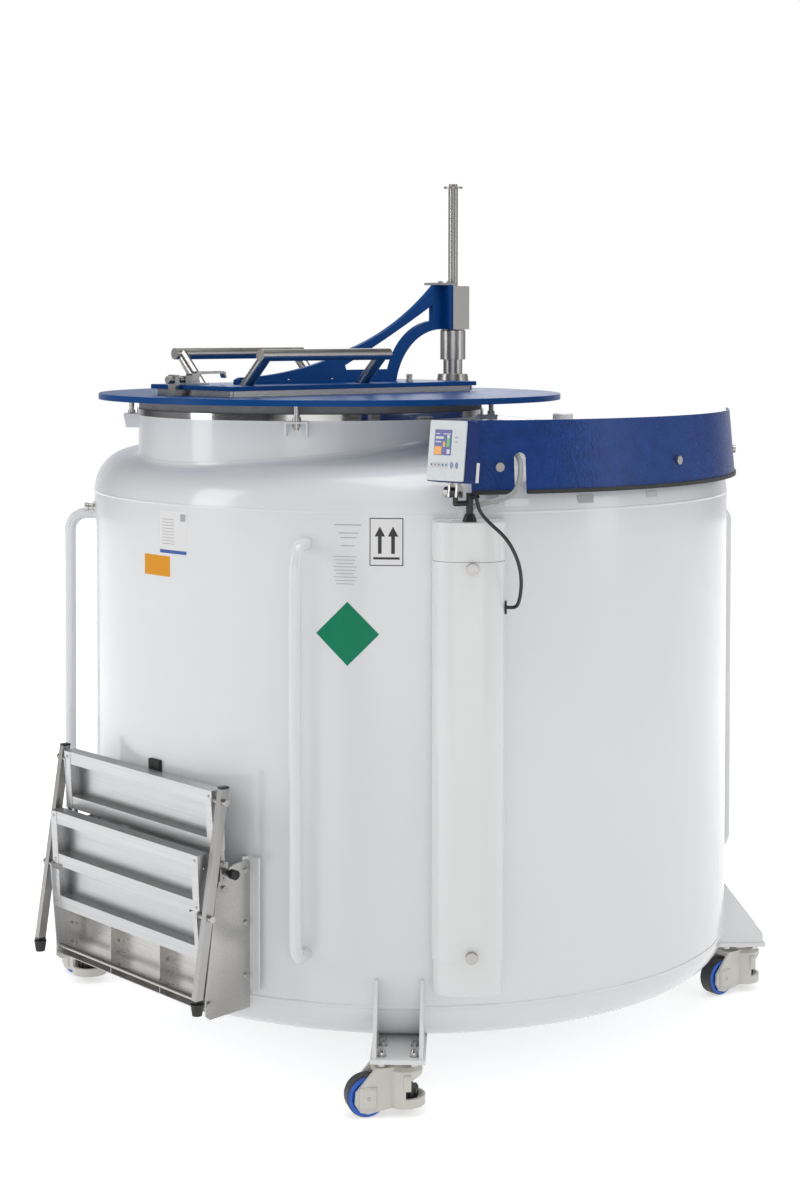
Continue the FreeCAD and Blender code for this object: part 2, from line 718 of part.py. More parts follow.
def latch_keeper():
    """Foot, web and two prongs, welded together."""
    back = KEEPER_AT + KEEPER_T
    half = KEEPER_W / 2
    gap = KEEPER_SLOT / 2
    low = LID_TOP_Z + 5
    foot = box(KEEPER_AT - 6, back + 6, LATCH_SIDE - half, LATCH_SIDE + half, LID_TOP_Z, low)
    web = box(KEEPER_AT, back, LATCH_SIDE - gap, LATCH_SIDE + gap, low, DRAW_Z - gap)
    prongs = [box(KEEPER_AT, back, y, y + half - gap, low, DRAW_Z + 12)
              for y in (LATCH_SIDE - half, LATCH_SIDE + gap)]
    return lid_frame_shape(group([foot, web] + prongs))


def latch_draw_bolt():
    """Head, shank, nut and end of the shank, one length after the other."""
    head_back = KEEPER_AT - REST_GAP
    nut_front = KEEPER_AT + KEEPER_T + DRAW_TRAVEL + 1
    nut_back = LATCH_BASE_FRONT - 1
    lengths = [
        (DRAW_HEAD_R, head_back - DRAW_HEAD_T, head_back),
        (DRAW_R, head_back, nut_front),
        (DRAW_NUT_R, nut_front, nut_back),
        (DRAW_R, nut_back, LATCH_BASE_FRONT + 20)]
    turned = [rod(r, (x0, LATCH_SIDE, DRAW_Z), (x1, LATCH_SIDE, DRAW_Z)) for r, x0, x1 in lengths]
    return lid_frame_shape(group(turned))


def latch_base():
    half = LATCH_BASE_W / 2
    end = LATCH_BASE_FRONT + LATCH_BASE_LENGTH
    foot = box(LATCH_BASE_FRONT, end, LATCH_SIDE - half, LATCH_SIDE + half, SMALL_LID_TOP_Z, SMALL_LID_TOP_Z + 4)
    block = box(LATCH_BASE_FRONT, LEVER_PIN_AT - 10, LATCH_SIDE - half, LATCH_SIDE + half,
                SMALL_LID_TOP_Z, DRAW_Z + 9)
    ears = [box(LEVER_PIN_AT - 12, LEVER_PIN_AT + 10, y, y + 2.5, SMALL_LID_TOP_Z, DRAW_Z + 14)
            for y in (LATCH_SIDE - half, LATCH_SIDE + half - 2.5)]
    bore = rod(DRAW_R + BORE_GAP, (LATCH_BASE_FRONT - 1, LATCH_SIDE, DRAW_Z), (LEVER_PIN_AT, LATCH_SIDE, DRAW_Z))
    pin_z = DRAW_Z + 8
    pin = rod(LEVER_PIN_R, (LEVER_PIN_AT, LATCH_SIDE - half, pin_z), (LEVER_PIN_AT, LATCH_SIDE + half, pin_z))
    return lid_frame_shape(fused([foot, block, pin] + ears).cut(bore))


def latch_lever():
    pin_z = DRAW_Z + 8
    half = LEVER_W / 2
    eye = rod(LEVER_PIN_R + 3, (LEVER_PIN_AT, LATCH_SIDE - half, pin_z), (LEVER_PIN_AT, LATCH_SIDE + half, pin_z))
    x1 = LEVER_PIN_AT + LEVER_LENGTH
    outline = [
        (LEVER_PIN_AT, pin_z - 3), (LEVER_PIN_AT + 14, pin_z + 4), (x1 - 8, pin_z + 5),
        (x1 - 3, pin_z - 6), (x1, pin_z - 5), (x1 - 3, pin_z + 9), (x1 - 10, pin_z + 11),
        (LEVER_PIN_AT + 10, pin_z + 11), (LEVER_PIN_AT, pin_z + 5)]
    strap = plate_xz(outline, LATCH_SIDE - half, LATCH_SIDE + half)
    bore = rod(LEVER_PIN_R + BORE_GAP, (LEVER_PIN_AT, LATCH_SIDE - 20, pin_z), (LEVER_PIN_AT, LATCH_SIDE + 20, pin_z))
    return lid_frame_shape(fused([eye, strap]).cut(bore))


# Inside

def turning_rack():
    """Hub on a floor disc, with fins that part the bays."""
    low = INNER_LOW_Z - INNER_DROP + 2 + PIVOT_COLLAR_H + 2 + REST_GAP
    top = low + RACK_HEIGHT
    deck = low + RACK_FLOOR_T
    floor = Part.makeCylinder(RACK_R, RACK_FLOOR_T, V(0, 0, low))
    hub = Part.makeCylinder(RACK_HUB_R, top - deck, V(0, 0, deck))
    fin = box(RACK_HUB_R - 5, RACK_R - 1, -RACK_FIN_T / 2, RACK_FIN_T / 2, deck, top).cut(hub)
    fins = [placed(fin, 360.0 * i / RACK_FINS) for i in range(RACK_FINS)]
    bore = Part.makeCylinder(PIVOT_R + RACK_RUNNING_GAP, RACK_HEIGHT + 2, V(0, 0, low - 1))
    return group([floor.cut(bore), hub.cut(bore)] + fins)


# Caps on the dome

def dome_cap(radius, height, top_z, at):
    """Cap with a bevelled edge on a narrower neck."""
    neck_r = radius - CAP_NECK_INSET
    low_z = top_z - height
    cap = turned([
        (0, CAP_ROOT_Z), (neck_r, CAP_ROOT_Z), (neck_r, low_z), (radius, low_z),
        (radius, top_z - 3), (radius - 3, top_z), (0, top_z)])
    return placed(cap, 0, at).cut(OUTER_BODY)


def dome_caps():
    return group([
        dome_cap(VACUUM_CAP_R, VACUUM_CAP_H, VACUUM_CAP_TOP_Z, VACUUM_CAP_AT),
        dome_cap(SENSOR_CAP_R, SENSOR_CAP_H, SENSOR_CAP_TOP_Z, SENSOR_CAP_AT)])


# Wall handles

def bent_tube(radius, points, bend):
    """Round bar along a polyline with its corners rounded."""
    edges = []
    start = points[0]
    for before, corner, after in zip(points, points[1:], points[2:]):
        back = (before - corner).normalize()
        ahead = (after - corner).normalize()
        a = corner + back * bend
        b = corner + ahead * bend
        bisector = (back + ahead).normalize()
        centre = corner + bisector * bend * sqrt(2)
        middle = centre - bisector * bend
        edges.append(Part.makeLine(start, a))
        edges.append(Part.Arc(a, middle, b).toShape())
        start = b
    edges.append(Part.makeLine(start, points[-1]))
    path = Part.Wire(edges)
    ring = Part.Wire([Part.makeCircle(radius, points[0], points[1] - points[0])])
    return path.makePipeShell([ring], True, False)


def wall_handles():
    points = [
        V(TANK_R - 20, 0, HANDLE_LOW_Z), V(HANDLE_AXIS_R, 0, HANDLE_LOW_Z),
        V(HANDLE_AXIS_R, 0, HANDLE_HIGH_Z), V(TANK_R - 20, 0, HANDLE_HIGH_Z)]
    tube = bent_tube(HANDLE_R, points, HANDLE_BEND).cut(OUTER_BODY)
    return group([placed(tube, a) for a in HANDLE_ANGLES])


# Caster brackets, bolts and casters

BRACKET_TOP_Z = BRACKET_PLATE_Z + BRACKET_PLATE_T


def bolt_places():
    half = BOLT_PITCH / 2
    return [(SWIVEL_AT + sx * half, sy * half) for sx in (-1, 1) for sy in (-1, 1)]


def caster_brackets():
    half = BRACKET_W / 2
    plate = box(TANK_R - LOW_KNUCKLE, BRACKET_OUT, -half, half, BRACKET_PLATE_Z, BRACKET_TOP_Z)
    outline = [
        (TANK_R - LOW_KNUCKLE, BRACKET_TOP_Z), (BRACKET_OUT - 6, BRACKET_TOP_Z),
        (BRACKET_OUT - 6, BRACKET_TOP_Z + GUSSET_NOSE),
        (TANK_R + GUSSET_LAND, GUSSET_TOP_Z), (TANK_R - 20, GUSSET_TOP_Z),
        (TANK_R - 20, SEAM_LOW_Z)]
    middle = GUSSET_APART / 2
    gussets = [plate_xz(outline, y - GUSSET_T / 2, y + GUSSET_T / 2) for y in (-middle, middle)]
    bracket = fused([plate] + gussets)
    for x, y in bolt_places():
        bracket = bracket.cut(Part.makeCylinder(BOLT_HOLE_R, 40, V(x, y, BRACKET_PLATE_Z - 20)))
    bracket = bracket.cut(OUTER_BODY)
    return group([placed(bracket, a) for a in CASTER_ANGLES])


def caster_bolts():
    under = BRACKET_PLATE_Z - TOP_PLATE_T
    profile = [
        (0, under - 6), (CAP_NUT_R, under - 6), (CAP_NUT_R, under), (BOLT_R, under),
        (BOLT_R, BRACKET_TOP_Z), (WASHER_R, BRACKET_TOP_Z), (WASHER_R, BRACKET_TOP_Z + WASHER_T),
        (CAP_NUT_R, BRACKET_TOP_Z + WASHER_T), (CAP_NUT_R, BRACKET_TOP_Z + 10),
        (CAP_NUT_R - 3, BRACKET_TOP_Z + CAP_NUT_H), (0, BRACKET_TOP_Z + CAP_NUT_H + 1)]
    bolt = turned(profile)
    bolts = []
    for angle in CASTER_ANGLES:
        for x, y in bolt_places():
            bolts.append(placed(placed(bolt, 0, (x, y, 0)), angle))
    return group(bolts)


def caster_plates():
    half = TOP_PLATE / 2
    low = BRACKET_PLATE_Z - TOP_PLATE_T
    plate = rounded_slab(-half, half, -half, half, low, BRACKET_PLATE_Z, 8)
    race = Part.makeCylinder(RACE_R, RACE_H, V(0, 0, low - RACE_H))
    stub = Part.makeCylinder(STEM_R + 2, 20, V(0, 0, low - RACE_H - 12))
    whole = fused([plate, race, stub])
    for x, y in bolt_places():
        whole = whole.cut(Part.makeCylinder(BOLT_HOLE_R, 40, V(x - SWIVEL_AT, y, low - 20)))
    plates = []
    for angle in CASTER_ANGLES:
        at = (SWIVEL_AT * cos(radians(angle)), SWIVEL_AT * sin(radians(angle)), 0)
        plates.append(placed(whole, angle, at))
    return group(plates)


def axle_boss(y0, y1, outer_y):
    """Oblong boss with bevelled edges around the end of the axle."""
    boss = box(
        -WHEEL_TRAIL - AXLE_BOSS_W / 2, -WHEEL_TRAIL + AXLE_BOSS_W / 2, y0, y1,
        WHEEL_R - AXLE_BOSS_H / 2, WHEEL_R + AXLE_BOSS_H / 2)
    rim = [e for e in boss.Edges if all(abs(v.Y - outer_y) < 0.01 for v in e.Vertexes)]
    return boss.makeChamfer(AXLE_BOSS_T - 1.5, rim)


def caster_housing():
    """Casting with two cheeks for the wheel to -X and a round guard for the levelling foot to +X."""
    neck_top = BRACKET_PLATE_Z - TOP_PLATE_T - RACE_H - REST_GAP
    inner = WHEEL_W / 2 + FORK_GAP
    outer = inner + FORK_T
    side = [
        (-WHEEL_TRAIL - 30, WHEEL_R - 12), (-WHEEL_TRAIL - 18, WHEEL_R - 30), (-WHEEL_TRAIL, WHEEL_R - 35),
        (-WHEEL_TRAIL + 24, WHEEL_R - 30), (-20, GUARD_LOW_Z), (WINDOW_FROM, GUARD_LOW_Z),
        (WINDOW_FROM, FORK_TOP_Z), (-58, FORK_TOP_Z), (-WHEEL_TRAIL - 28, WHEEL_R + 14)]
    cheeks = [plate_xz(side, y, y + FORK_T) for y in (-outer, inner)]
    web = plate_xz([(-58, WHEEL_R * 2 + 4), (10, WHEEL_R * 2 + 4), (10, FORK_TOP_Z), (-58, FORK_TOP_Z)], -outer, outer)
    shell = Part.makeCylinder(GUARD_R, FORK_TOP_Z - 8 - GUARD_LOW_Z, V(FOOT_OFFSET, 0, GUARD_LOW_Z))
    slope = Part.makeCone(GUARD_R, GUARD_R - 9, 8, V(FOOT_OFFSET, 0, FORK_TOP_Z - 8))
    hollow = Part.makeCylinder(GUARD_INNER_R, THUMB_ROOM_HIGH_Z - GUARD_LOW_Z, V(FOOT_OFFSET, 0, GUARD_LOW_Z))
    reach = FOOT_OFFSET + GUARD_R + 5
    window = plate_xz(
        [(WINDOW_FROM, GUARD_HIGH_Z), (reach, GUARD_HIGH_Z), (reach, FORK_TOP_Z + 5), (reach - 14, FORK_TOP_Z + 5),
         (reach - 20, WINDOW_HIGH_Z + 12), (WINDOW_FROM + 12, WINDOW_HIGH_Z), (WINDOW_FROM, WINDOW_HIGH_Z - 12)],
        -GUARD_R - 5, GUARD_R + 5)
    shell = shell.fuse(slope).cut(hollow).cut(window)
    foot_boss = Part.makeCylinder(FOOT_BOSS_R, WINDOW_HIGH_Z - THUMB_ROOM_HIGH_Z + 12, V(FOOT_OFFSET, 0, THUMB_ROOM_HIGH_Z))
    neck = Part.makeCone(RACE_R + 4, RACE_R, neck_top - FORK_TOP_Z, V(0, 0, FORK_TOP_Z))
    bosses = [
        axle_boss(-outer - AXLE_BOSS_T, -outer, -outer - AXLE_BOSS_T),
        axle_boss(outer, outer + AXLE_BOSS_T, outer + AXLE_BOSS_T)]
    pin = rod(AXLE_R, (-WHEEL_TRAIL, -outer - 1, WHEEL_R), (-WHEEL_TRAIL, outer + 1, WHEEL_R))
    whole = fused(cheeks + [web, shell, foot_boss, neck] + bosses)
    wheel_room = rod(WHEEL_R + 3, (-WHEEL_TRAIL, -inner, WHEEL_R), (-WHEEL_TRAIL, inner, WHEEL_R))
    stem_room = Part.makeCylinder(STEM_R + STEM_GAP, FORK_TOP_Z - 14 - GUARD_LOW_Z, V(FOOT_OFFSET, 0, GUARD_LOW_Z))
    thumb_room = Part.makeCylinder(THUMB_R + THUMB_ROOM_GAP, THUMB_ROOM_HIGH_Z, V(FOOT_OFFSET, 0, 0))
    king_room = Part.makeCylinder(STEM_R + 2 + 0.06, 40, V(0, 0, neck_top - 12.4))
    whole = whole.cut(wheel_room).cut(thumb_room).cut(stem_room).cut(king_room)
    return whole.fuse(pin).removeSplitter()


def caster_wheel():
    half = WHEEL_W / 2
    rim_r = WHEEL_R - TYRE_T
    profile = [
        (AXLE_R + 0.06, -half + 1), (rim_r - 14, -half + 1), (rim_r - 12, -half + 5),
        (rim_r - 4, -half + 5), (rim_r - 2, -half), (WHEEL_R - 3, -half), (WHEEL_R, -half + 4),
        (WHEEL_R, half - 4), (WHEEL_R - 3, half), (rim_r - 2, half), (rim_r - 4, half - 5),
        (rim_r - 12, half - 5), (rim_r - 14, half - 1), (AXLE_R + 0.06, half - 1)]
    wheel = turned(profile)
    wheel.rotate(V(0, 0, 0), V(1, 0, 0), 90)
    wheel.translate(V(-WHEEL_TRAIL, 0, WHEEL_R))
    return wheel


def caster_leveller():
    """Thumb wheel, screw and rubber pad, which screw down together."""
    thumb = Part.makeCylinder(THUMB_R, THUMB_T, V(0, 0, THUMB_LOW_Z))
    for i in range(12):
        a = 2 * pi * i / 12
        thumb = thumb.cut(Part.makeCylinder(4, THUMB_T, V(THUMB_R * cos(a), THUMB_R * sin(a), THUMB_LOW_Z)))
    stem = Part.makeCylinder(STEM_R, FORK_TOP_Z - 20 - PAD_LOW_Z - PAD_T, V(0, 0, PAD_LOW_Z + PAD_T))
    pad = Part.makeCone(PAD_R, PAD_R - 3, PAD_T, V(0, 0, PAD_LOW_Z))
    return placed(fused([pad, stem, thumb]), 0, (FOOT_OFFSET, 0, 0))


def caster_nodes():
    nodes = {}
    makers = {
        "caster_housing": caster_housing(), "caster_wheel": caster_wheel(),
        "caster_leveller": caster_leveller()}
    names = ("front", "right", "rear", "left")
    for side, angle, heading in zip(names, CASTER_ANGLES, CASTER_HEADINGS):
        at = (SWIVEL_AT * cos(radians(angle)), SWIVEL_AT * sin(radians(angle)), 0)
        for name, shape in makers.items():
            nodes[name + "_" + side] = placed(shape, heading - 180, at)
    return nodes


# Pillar

def pillar_section(shrink, z0, z1):
    half = PILLAR_W / 2 - shrink
    front = -PILLAR_FRONT + shrink
    slab = box(PILLAR_X - half, PILLAR_X + half, front, -TANK_R + PILLAR_BACK_DEPTH, z0, z1)
    upright = [e for e in slab.Edges
               if abs(e.Vertexes[0].Z - e.Vertexes[-1].Z) > 1 and e.Vertexes[0].Y < front + 1]
    return slab.makeFillet(PILLAR_ROUND - shrink, upright)


def pillar_duct():
    wall = PILLAR_COVER_T
    lower = pillar_section(wall + REST_GAP, PILLAR_LOW_Z, PILLAR_COVER_TOP_Z)
    head = pillar_section(0, PILLAR_COVER_TOP_Z + 1, PILLAR_TOP_Z)
    neck = pillar_section(wall + REST_GAP, PILLAR_COVER_TOP_Z - 5, PILLAR_COVER_TOP_Z + 5)
    hollow = pillar_section(2 * wall + REST_GAP, PILLAR_LOW_Z + wall, PILLAR_TOP_Z - wall)
    grommet = rod(GROMMET_R - 1, (PILLAR_X, -PILLAR_FRONT + 56, GROMMET_Z), (PILLAR_X + 140, -PILLAR_FRONT + 56, GROMMET_Z))
    return fused([lower, neck, head]).cut(hollow).cut(OUTER_BODY).cut(grommet)


def pillar_cover():
    outside = pillar_section(0, PILLAR_COVER_LOW_Z, PILLAR_COVER_TOP_Z)
    inside = pillar_section(PILLAR_COVER_T, PILLAR_COVER_LOW_Z, PILLAR_COVER_TOP_Z)
    hole = rod(GROMMET_R - 1, (PILLAR_X, -PILLAR_FRONT + 56, GROMMET_Z), (PILLAR_X + 140, -PILLAR_FRONT + 56, GROMMET_Z))
    return outside.cut(inside).cut(OUTER_BODY).cut(hole)


def pillar_knobs():
    knobs = []
    for z in (PILLAR_COVER_LOW_Z + PILLAR_KNOB_INSET, PILLAR_COVER_TOP_Z - PILLAR_KNOB_INSET):
        disc = rod(PILLAR_KNOB_R, (PILLAR_X + 9, -PILLAR_FRONT, z), (PILLAR_X + 9, -PILLAR_FRONT - PILLAR_KNOB_T, z))
        knobs.append(disc)
    return group(knobs)


def cable_grommet():
    x = PILLAR_X + PILLAR_W / 2
    y = -PILLAR_FRONT + 56
    flange = rod(GROMMET_R + 4, (x, y, GROMMET_Z), (x + 4, y, GROMMET_Z))
    body = rod(GROMMET_R - 1, (x - PILLAR_COVER_T, y, GROMMET_Z), (x, y, GROMMET_Z))
    bore = rod(CABLE_R + REST_GAP, (x - 10, y, GROMMET_Z), (x + 6, y, GROMMET_Z))
    return fused([flange, body]).cut(bore)


# Shoulder skirt

def cover_radius(z):
    share = (z - COVER_LOW_Z) / (COVER_HIGH_Z - COVER_LOW_Z)
    return COVER_LOW_R + share * (COVER_HIGH_R - COVER_LOW_R)


def keyhole(grow):
    """Slot from below the skirt's edge up to a round end."""
    half = KEYHOLE_W / 2 + grow
    centre_z = KEYHOLE_TOP_Z - KEYHOLE_W / 2
    slot = box(COVER_HIGH_R - 60, COVER_LOW_R + 20, -half, half, COVER_LOW_Z - 20, centre_z)
    end = rod(half, (COVER_HIGH_R - 60, 0, centre_z), (COVER_LOW_R + 20, 0, centre_z))
    return placed(fused([slot, end]), KEYHOLE_ANGLE)


def shoulder_cover():
    t = COVER_T
    profile = [
        (COVER_LOW_R, COVER_LOW_Z), (COVER_HIGH_R, COVER_HIGH_Z),
        (COVER_HIGH_R - t, COVER_HIGH_Z), (COVER_LOW_R - t, COVER_LOW_Z)]
    skirt = placed(turned(profile, COVER_TO_DEG - COVER_FROM_DEG), COVER_FROM_DEG)
    skirt = skirt.cut(keyhole(0))
    hole = rod(COVER_STUD_R + 0.3, (COVER_HIGH_R - 20, 0, COVER_SCREW_Z), (COVER_LOW_R + 20, 0, COVER_SCREW_Z))
    return skirt.cut([placed(hole, a) for a in COVER_SCREW_ANGLES])


def cover_trim():
    low = COVER_LOW_Z - TRIM_T
    r = cover_radius(COVER_LOW_Z)
    profile = [
        (r - COVER_T - TRIM_T, low), (r + TRIM_T, low), (r + TRIM_T, low + TRIM_H), (r - COVER_T - TRIM_T, low + TRIM_H)]
    strip = placed(turned(profile, COVER_TO_DEG - COVER_FROM_DEG - 0.4), COVER_FROM_DEG + 0.2)
    t = COVER_T
    skirt = turned([
        (COVER_LOW_R, COVER_LOW_Z), (COVER_HIGH_R, COVER_HIGH_Z),
        (COVER_HIGH_R - t, COVER_HIGH_Z), (COVER_LOW_R - t, COVER_LOW_Z)])
    return strip.cut(skirt).cut(keyhole(2))


def cover_screws():
    r = cover_radius(COVER_SCREW_Z)
    post = rod(COVER_POST_R, (TANK_R - TOP_KNUCKLE - 40, 0, COVER_SCREW_Z), (r - COVER_T - 0.9, 0, COVER_SCREW_Z))
    stud = rod(COVER_STUD_R, (r - 10, 0, COVER_SCREW_Z), (r + 2, 0, COVER_SCREW_Z))
    head = rod(COVER_SCREW_HEAD_R, (r + 1, 0, COVER_SCREW_Z), (r + 1 + COVER_SCREW_HEAD_T, 0, COVER_SCREW_Z))
    screw = fused([post.cut(OUTER_BODY), stud, head])
    return group([placed(screw, a) for a in COVER_SCREW_ANGLES])


# Display. Its frame has +X along the panel, +Y into it and +Z up it, from the hinge

def display_place(shape, tilted=True):
    copy = shape.copy()
    if tilted:
        copy.rotate(V(0, 0, 0), V(1, 0, 0), DISPLAY_TILT)
    copy.rotate(V(0, 0, 0), V(0, 0, 1), DISPLAY_YAW)
    copy.translate(V(*HINGE_POINT))
    return copy


def display_housing():
    half = DISPLAY_W / 2
    y0 = -DISPLAY_FRONT
    z0 = HINGE_DROP
    case = box(-half, half, y0 + PANEL_T, y0 + DISPLAY_D, z0, z0 + DISPLAY_H)
    edges = [e for e in case.Edges if abs(e.Vertexes[0].Y - e.Vertexes[-1].Y) > 1]
    case = case.makeFillet(DISPLAY_CORNER, edges)
    lug_outline = [(-EYE_R, -EYE_R), (-EYE_R, z0 + 1), (0, z0 + 1), (EYE_R, EYE_R), (EYE_R, -EYE_R)]
    lugs = []
    for x in (-EYE_W / 2 - LUG_GAP - LUG_T, EYE_W / 2 + LUG_GAP):
        wire = Part.makePolygon([V(x, y, z) for y, z in lug_outline + lug_outline[:1]])
        lug = Part.Face(wire).extrude(V(LUG_T, 0, 0))
        lugs.append(lug.cut(rod(HINGE_PIN_R + 0.05, (x - 1, 0, 0), (x + LUG_T + 1, 0, 0))))
    return display_place(fused([case] + lugs))


def display_panel():
    half = DISPLAY_W / 2 - PANEL_INSET
    y0 = -DISPLAY_FRONT
    z0 = HINGE_DROP + PANEL_INSET
    panel = box(-half, half, y0, y0 + PANEL_T, z0, z0 + DISPLAY_H - 2 * PANEL_INSET)
    edges = [e for e in panel.Edges if abs(e.Vertexes[0].Y - e.Vertexes[-1].Y) > 1]
    return display_place(panel.makeFillet(DISPLAY_CORNER - PANEL_INSET, edges))


def display_stand():
    base_z = PILLAR_TOP_Z
    x, y = STAND_POINT
    base = Part.makeCone(STAND_BASE_R, STAND_R + 2, 14, V(x, y, base_z + STAND_BASE_T))
    foot = Part.makeCylinder(STAND_BASE_R, STAND_BASE_T, V(x, y, base_z))
    pole = Part.makeCylinder(STAND_R, HINGE_POINT[2] - STAND_DROP - base_z, V(x, y, base_z))
    elbow_z = HINGE_POINT[2] - STAND_DROP
    sleeve = Part.makeCylinder(STAND_R, STAND_SLEEVE_H, V(x, y, elbow_z))
    eye = display_place(rod(EYE_R, (-EYE_W / 2, 0, 0), (EYE_W / 2, 0, 0)), False)
    under = (HINGE_POINT[0], HINGE_POINT[1], elbow_z)
    neck = fused([
        rod(STAND_NECK_R, (x, y, elbow_z), under), rod(STAND_NECK_R, under, HINGE_POINT),
        Part.makeSphere(STAND_NECK_R, V(*under))])
    reach = EYE_W / 2 + LUG_GAP + LUG_T
    pin = display_place(rod(HINGE_PIN_R, (-reach, 0, 0), (reach, 0, 0)), False)
    return fused([foot, base, pole, sleeve, neck, eye, pin])


def clamp_knob():
    x = -EYE_W / 2 - LUG_GAP - LUG_T - REST_GAP
    disc = rod(KNOB_R, (x, 0, 0), (x - KNOB_T, 0, 0))
    hub = rod(KNOB_R - 4, (x - KNOB_T, 0, 0), (x - KNOB_T - 3, 0, 0))
    return display_place(fused([disc, hub]), False)


# Cord and hose

def smooth_tube(radius, points):
    curve = Part.BSplineCurve()
    curve.buildFromPoles([V(*p) for p in points], False, 3)
    path = Part.Wire([curve.toShape()])
    start = V(*points[0])
    ring = Part.Wire([Part.makeCircle(radius, start, V(*points[1]) - start)])
    return path.makePipeShell([ring], True, True)


def display_cable():
    points = [
        (158, -857, 1346), (165, -866, 1345), (168, -880, 1336), (172, -896, 1318), (190, -912, 1296),
        (232, -918, 1260), (256, -900, 1212),
        (264, -880, 1170), (262, -860, 1130), (256, -840, 1106), (248, -834, GROMMET_Z), (238, -834, GROMMET_Z), (222, -834, GROMMET_Z)]
    return smooth_tube(CABLE_R, points)


def grey_hose():
    """From the dome out through the keyhole and round to the display's stand."""
    points = [
        (216, -655, 1402), (216, -655, 1424), (220, -668, 1443), (234, -702, 1446), (249, -734, 1438),
        (258, -757, 1426), (263, -785, 1412), (263, -808, 1394), (259, -826, 1372), (250, -838, 1352),
        (232, -846, 1341), (206, -850, 1335), (182, -850, 1329), (168, -850, 1325), (156, -850, 1321)]
    x, y = STAND_POINT
    pole = Part.makeCylinder(STAND_R, HINGE_POINT[2] - STAND_DROP - PILLAR_TOP_Z, V(x, y, PILLAR_TOP_Z))
    return smooth_tube(HOSE_R, points).cut(OUTER_BODY).cut(pole)


# Folding steps, drawn in their own frame and turned into place

def steps_place(shape):
    return placed(shape, STEPS_ANGLE)


LOWER_PIVOT = (UPPER_PIVOT[0] + PIVOT_STEP[0], UPPER_PIVOT[1] + PIVOT_STEP[1])
CRANK_X = CRANK * sin(radians(CRANK_LEAN))
CRANK_Z = CRANK * cos(radians(CRANK_LEAN))
UPPER_JOINT = (UPPER_PIVOT[0] + CRANK_X, UPPER_PIVOT[1] + CRANK_Z)
LOWER_JOINT = (LOWER_PIVOT[0] + CRANK_X, LOWER_PIVOT[1] + CRANK_Z)
TREAD_HALF_W = STEPS_HALF_W - CARRIER_T - TREAD_GAP


def rod_y(radius, at, y0, y1):
    return rod(radius, (at[0], y0, at[1]), (at[0], y1, at[1]))


def plunger_place():
    return (UPPER_PIVOT[0] + 1.0, UPPER_PIVOT[1] + PLUNGER_AT)


def step_carrier():
    """Welded carrier: two side plates, a back sheet and two ribs."""
    w = STEPS_HALF_W
    outline = [
        (CARRIER_BACK, CARRIER_LOW_Z + 6), (CARRIER_LOW_FRONT - 12, CARRIER_LOW_Z),
        (CARRIER_LOW_FRONT, CARRIER_LOW_Z + 10), (CARRIER_LOW_FRONT, CARRIER_LOW_Z + 52),
        (CARRIER_TOP_FRONT + 12, CARRIER_TOP_Z - 60), (CARRIER_TOP_FRONT, CARRIER_TOP_Z - 20),
        (CARRIER_TOP_FRONT - 34, CARRIER_TOP_Z - 6), (CARRIER_BACK + 6, CARRIER_TOP_Z), (CARRIER_BACK, CARRIER_TOP_Z - 6)]
    sides = [plate_xz(outline, y, y + CARRIER_T) for y in (-w, w - CARRIER_T)]
    sheet = box(BACK_SHEET_AT - 2, BACK_SHEET_AT, -w + 1, w - 1, CARRIER_LOW_Z + 10, BACK_SHEET_TOP_Z)
    lip = box(BACK_SHEET_AT - 2, BACK_SHEET_AT + RIB_DEPTH, -w + 1, w - 1, CARRIER_LOW_Z + 8, CARRIER_LOW_Z + 10)
    parts = sides + [sheet, lip]
    for y in (-RIB_SPREAD, RIB_SPREAD):
        web = box(BACK_SHEET_AT - 1, BACK_SHEET_AT + RIB_DEPTH, y, y + 2, CARRIER_LOW_Z + 9, RIB_TOP_Z)
        foot = box(BACK_SHEET_AT - 1, BACK_SHEET_AT + 1.5, y, y + RIB_FLANGE, CARRIER_LOW_Z + 9, RIB_TOP_Z)
        parts += [web, foot]
    carrier = fused(parts)
    for pivot in (UPPER_PIVOT, LOWER_PIVOT):
        carrier = carrier.cut(rod_y(AXLE_ROD_R, pivot, -w - 5, w + 5))
    lock = rod_y(PLUNGER_PIN_R + BORE_GAP, plunger_place(), w - 20, w + 20)
    return steps_place(carrier.cut(lock))


def carrier_rails():
    """White angles welded to the wall, behind the side plates."""
    rails = []
    for side in (-1, 1):
        y = side * STEPS_HALF_W
        y0 = min(y, y - side * RAIL_W)
        rail = box(650, CARRIER_BACK, y0, y0 + RAIL_W, RAIL_LOW_Z, RAIL_HIGH_Z)
        ear_y = min(y - side * CARRIER_T, y - side * (CARRIER_T + 4))
        ear = box(CARRIER_BACK - 10, CARRIER_BACK + 18, ear_y, ear_y + 4, RAIL_LOW_Z, RAIL_HIGH_Z)
        wing_y = min(y - 2 * side, y + side * RAIL_WING)
        wing = box(CARRIER_BACK - 5, CARRIER_BACK, wing_y, wing_y + RAIL_WING + 2, RAIL_LOW_Z, RAIL_HIGH_Z)
        rails.append(steps_place(fused([rail, ear, wing])).cut(OUTER_BODY))
    return rails


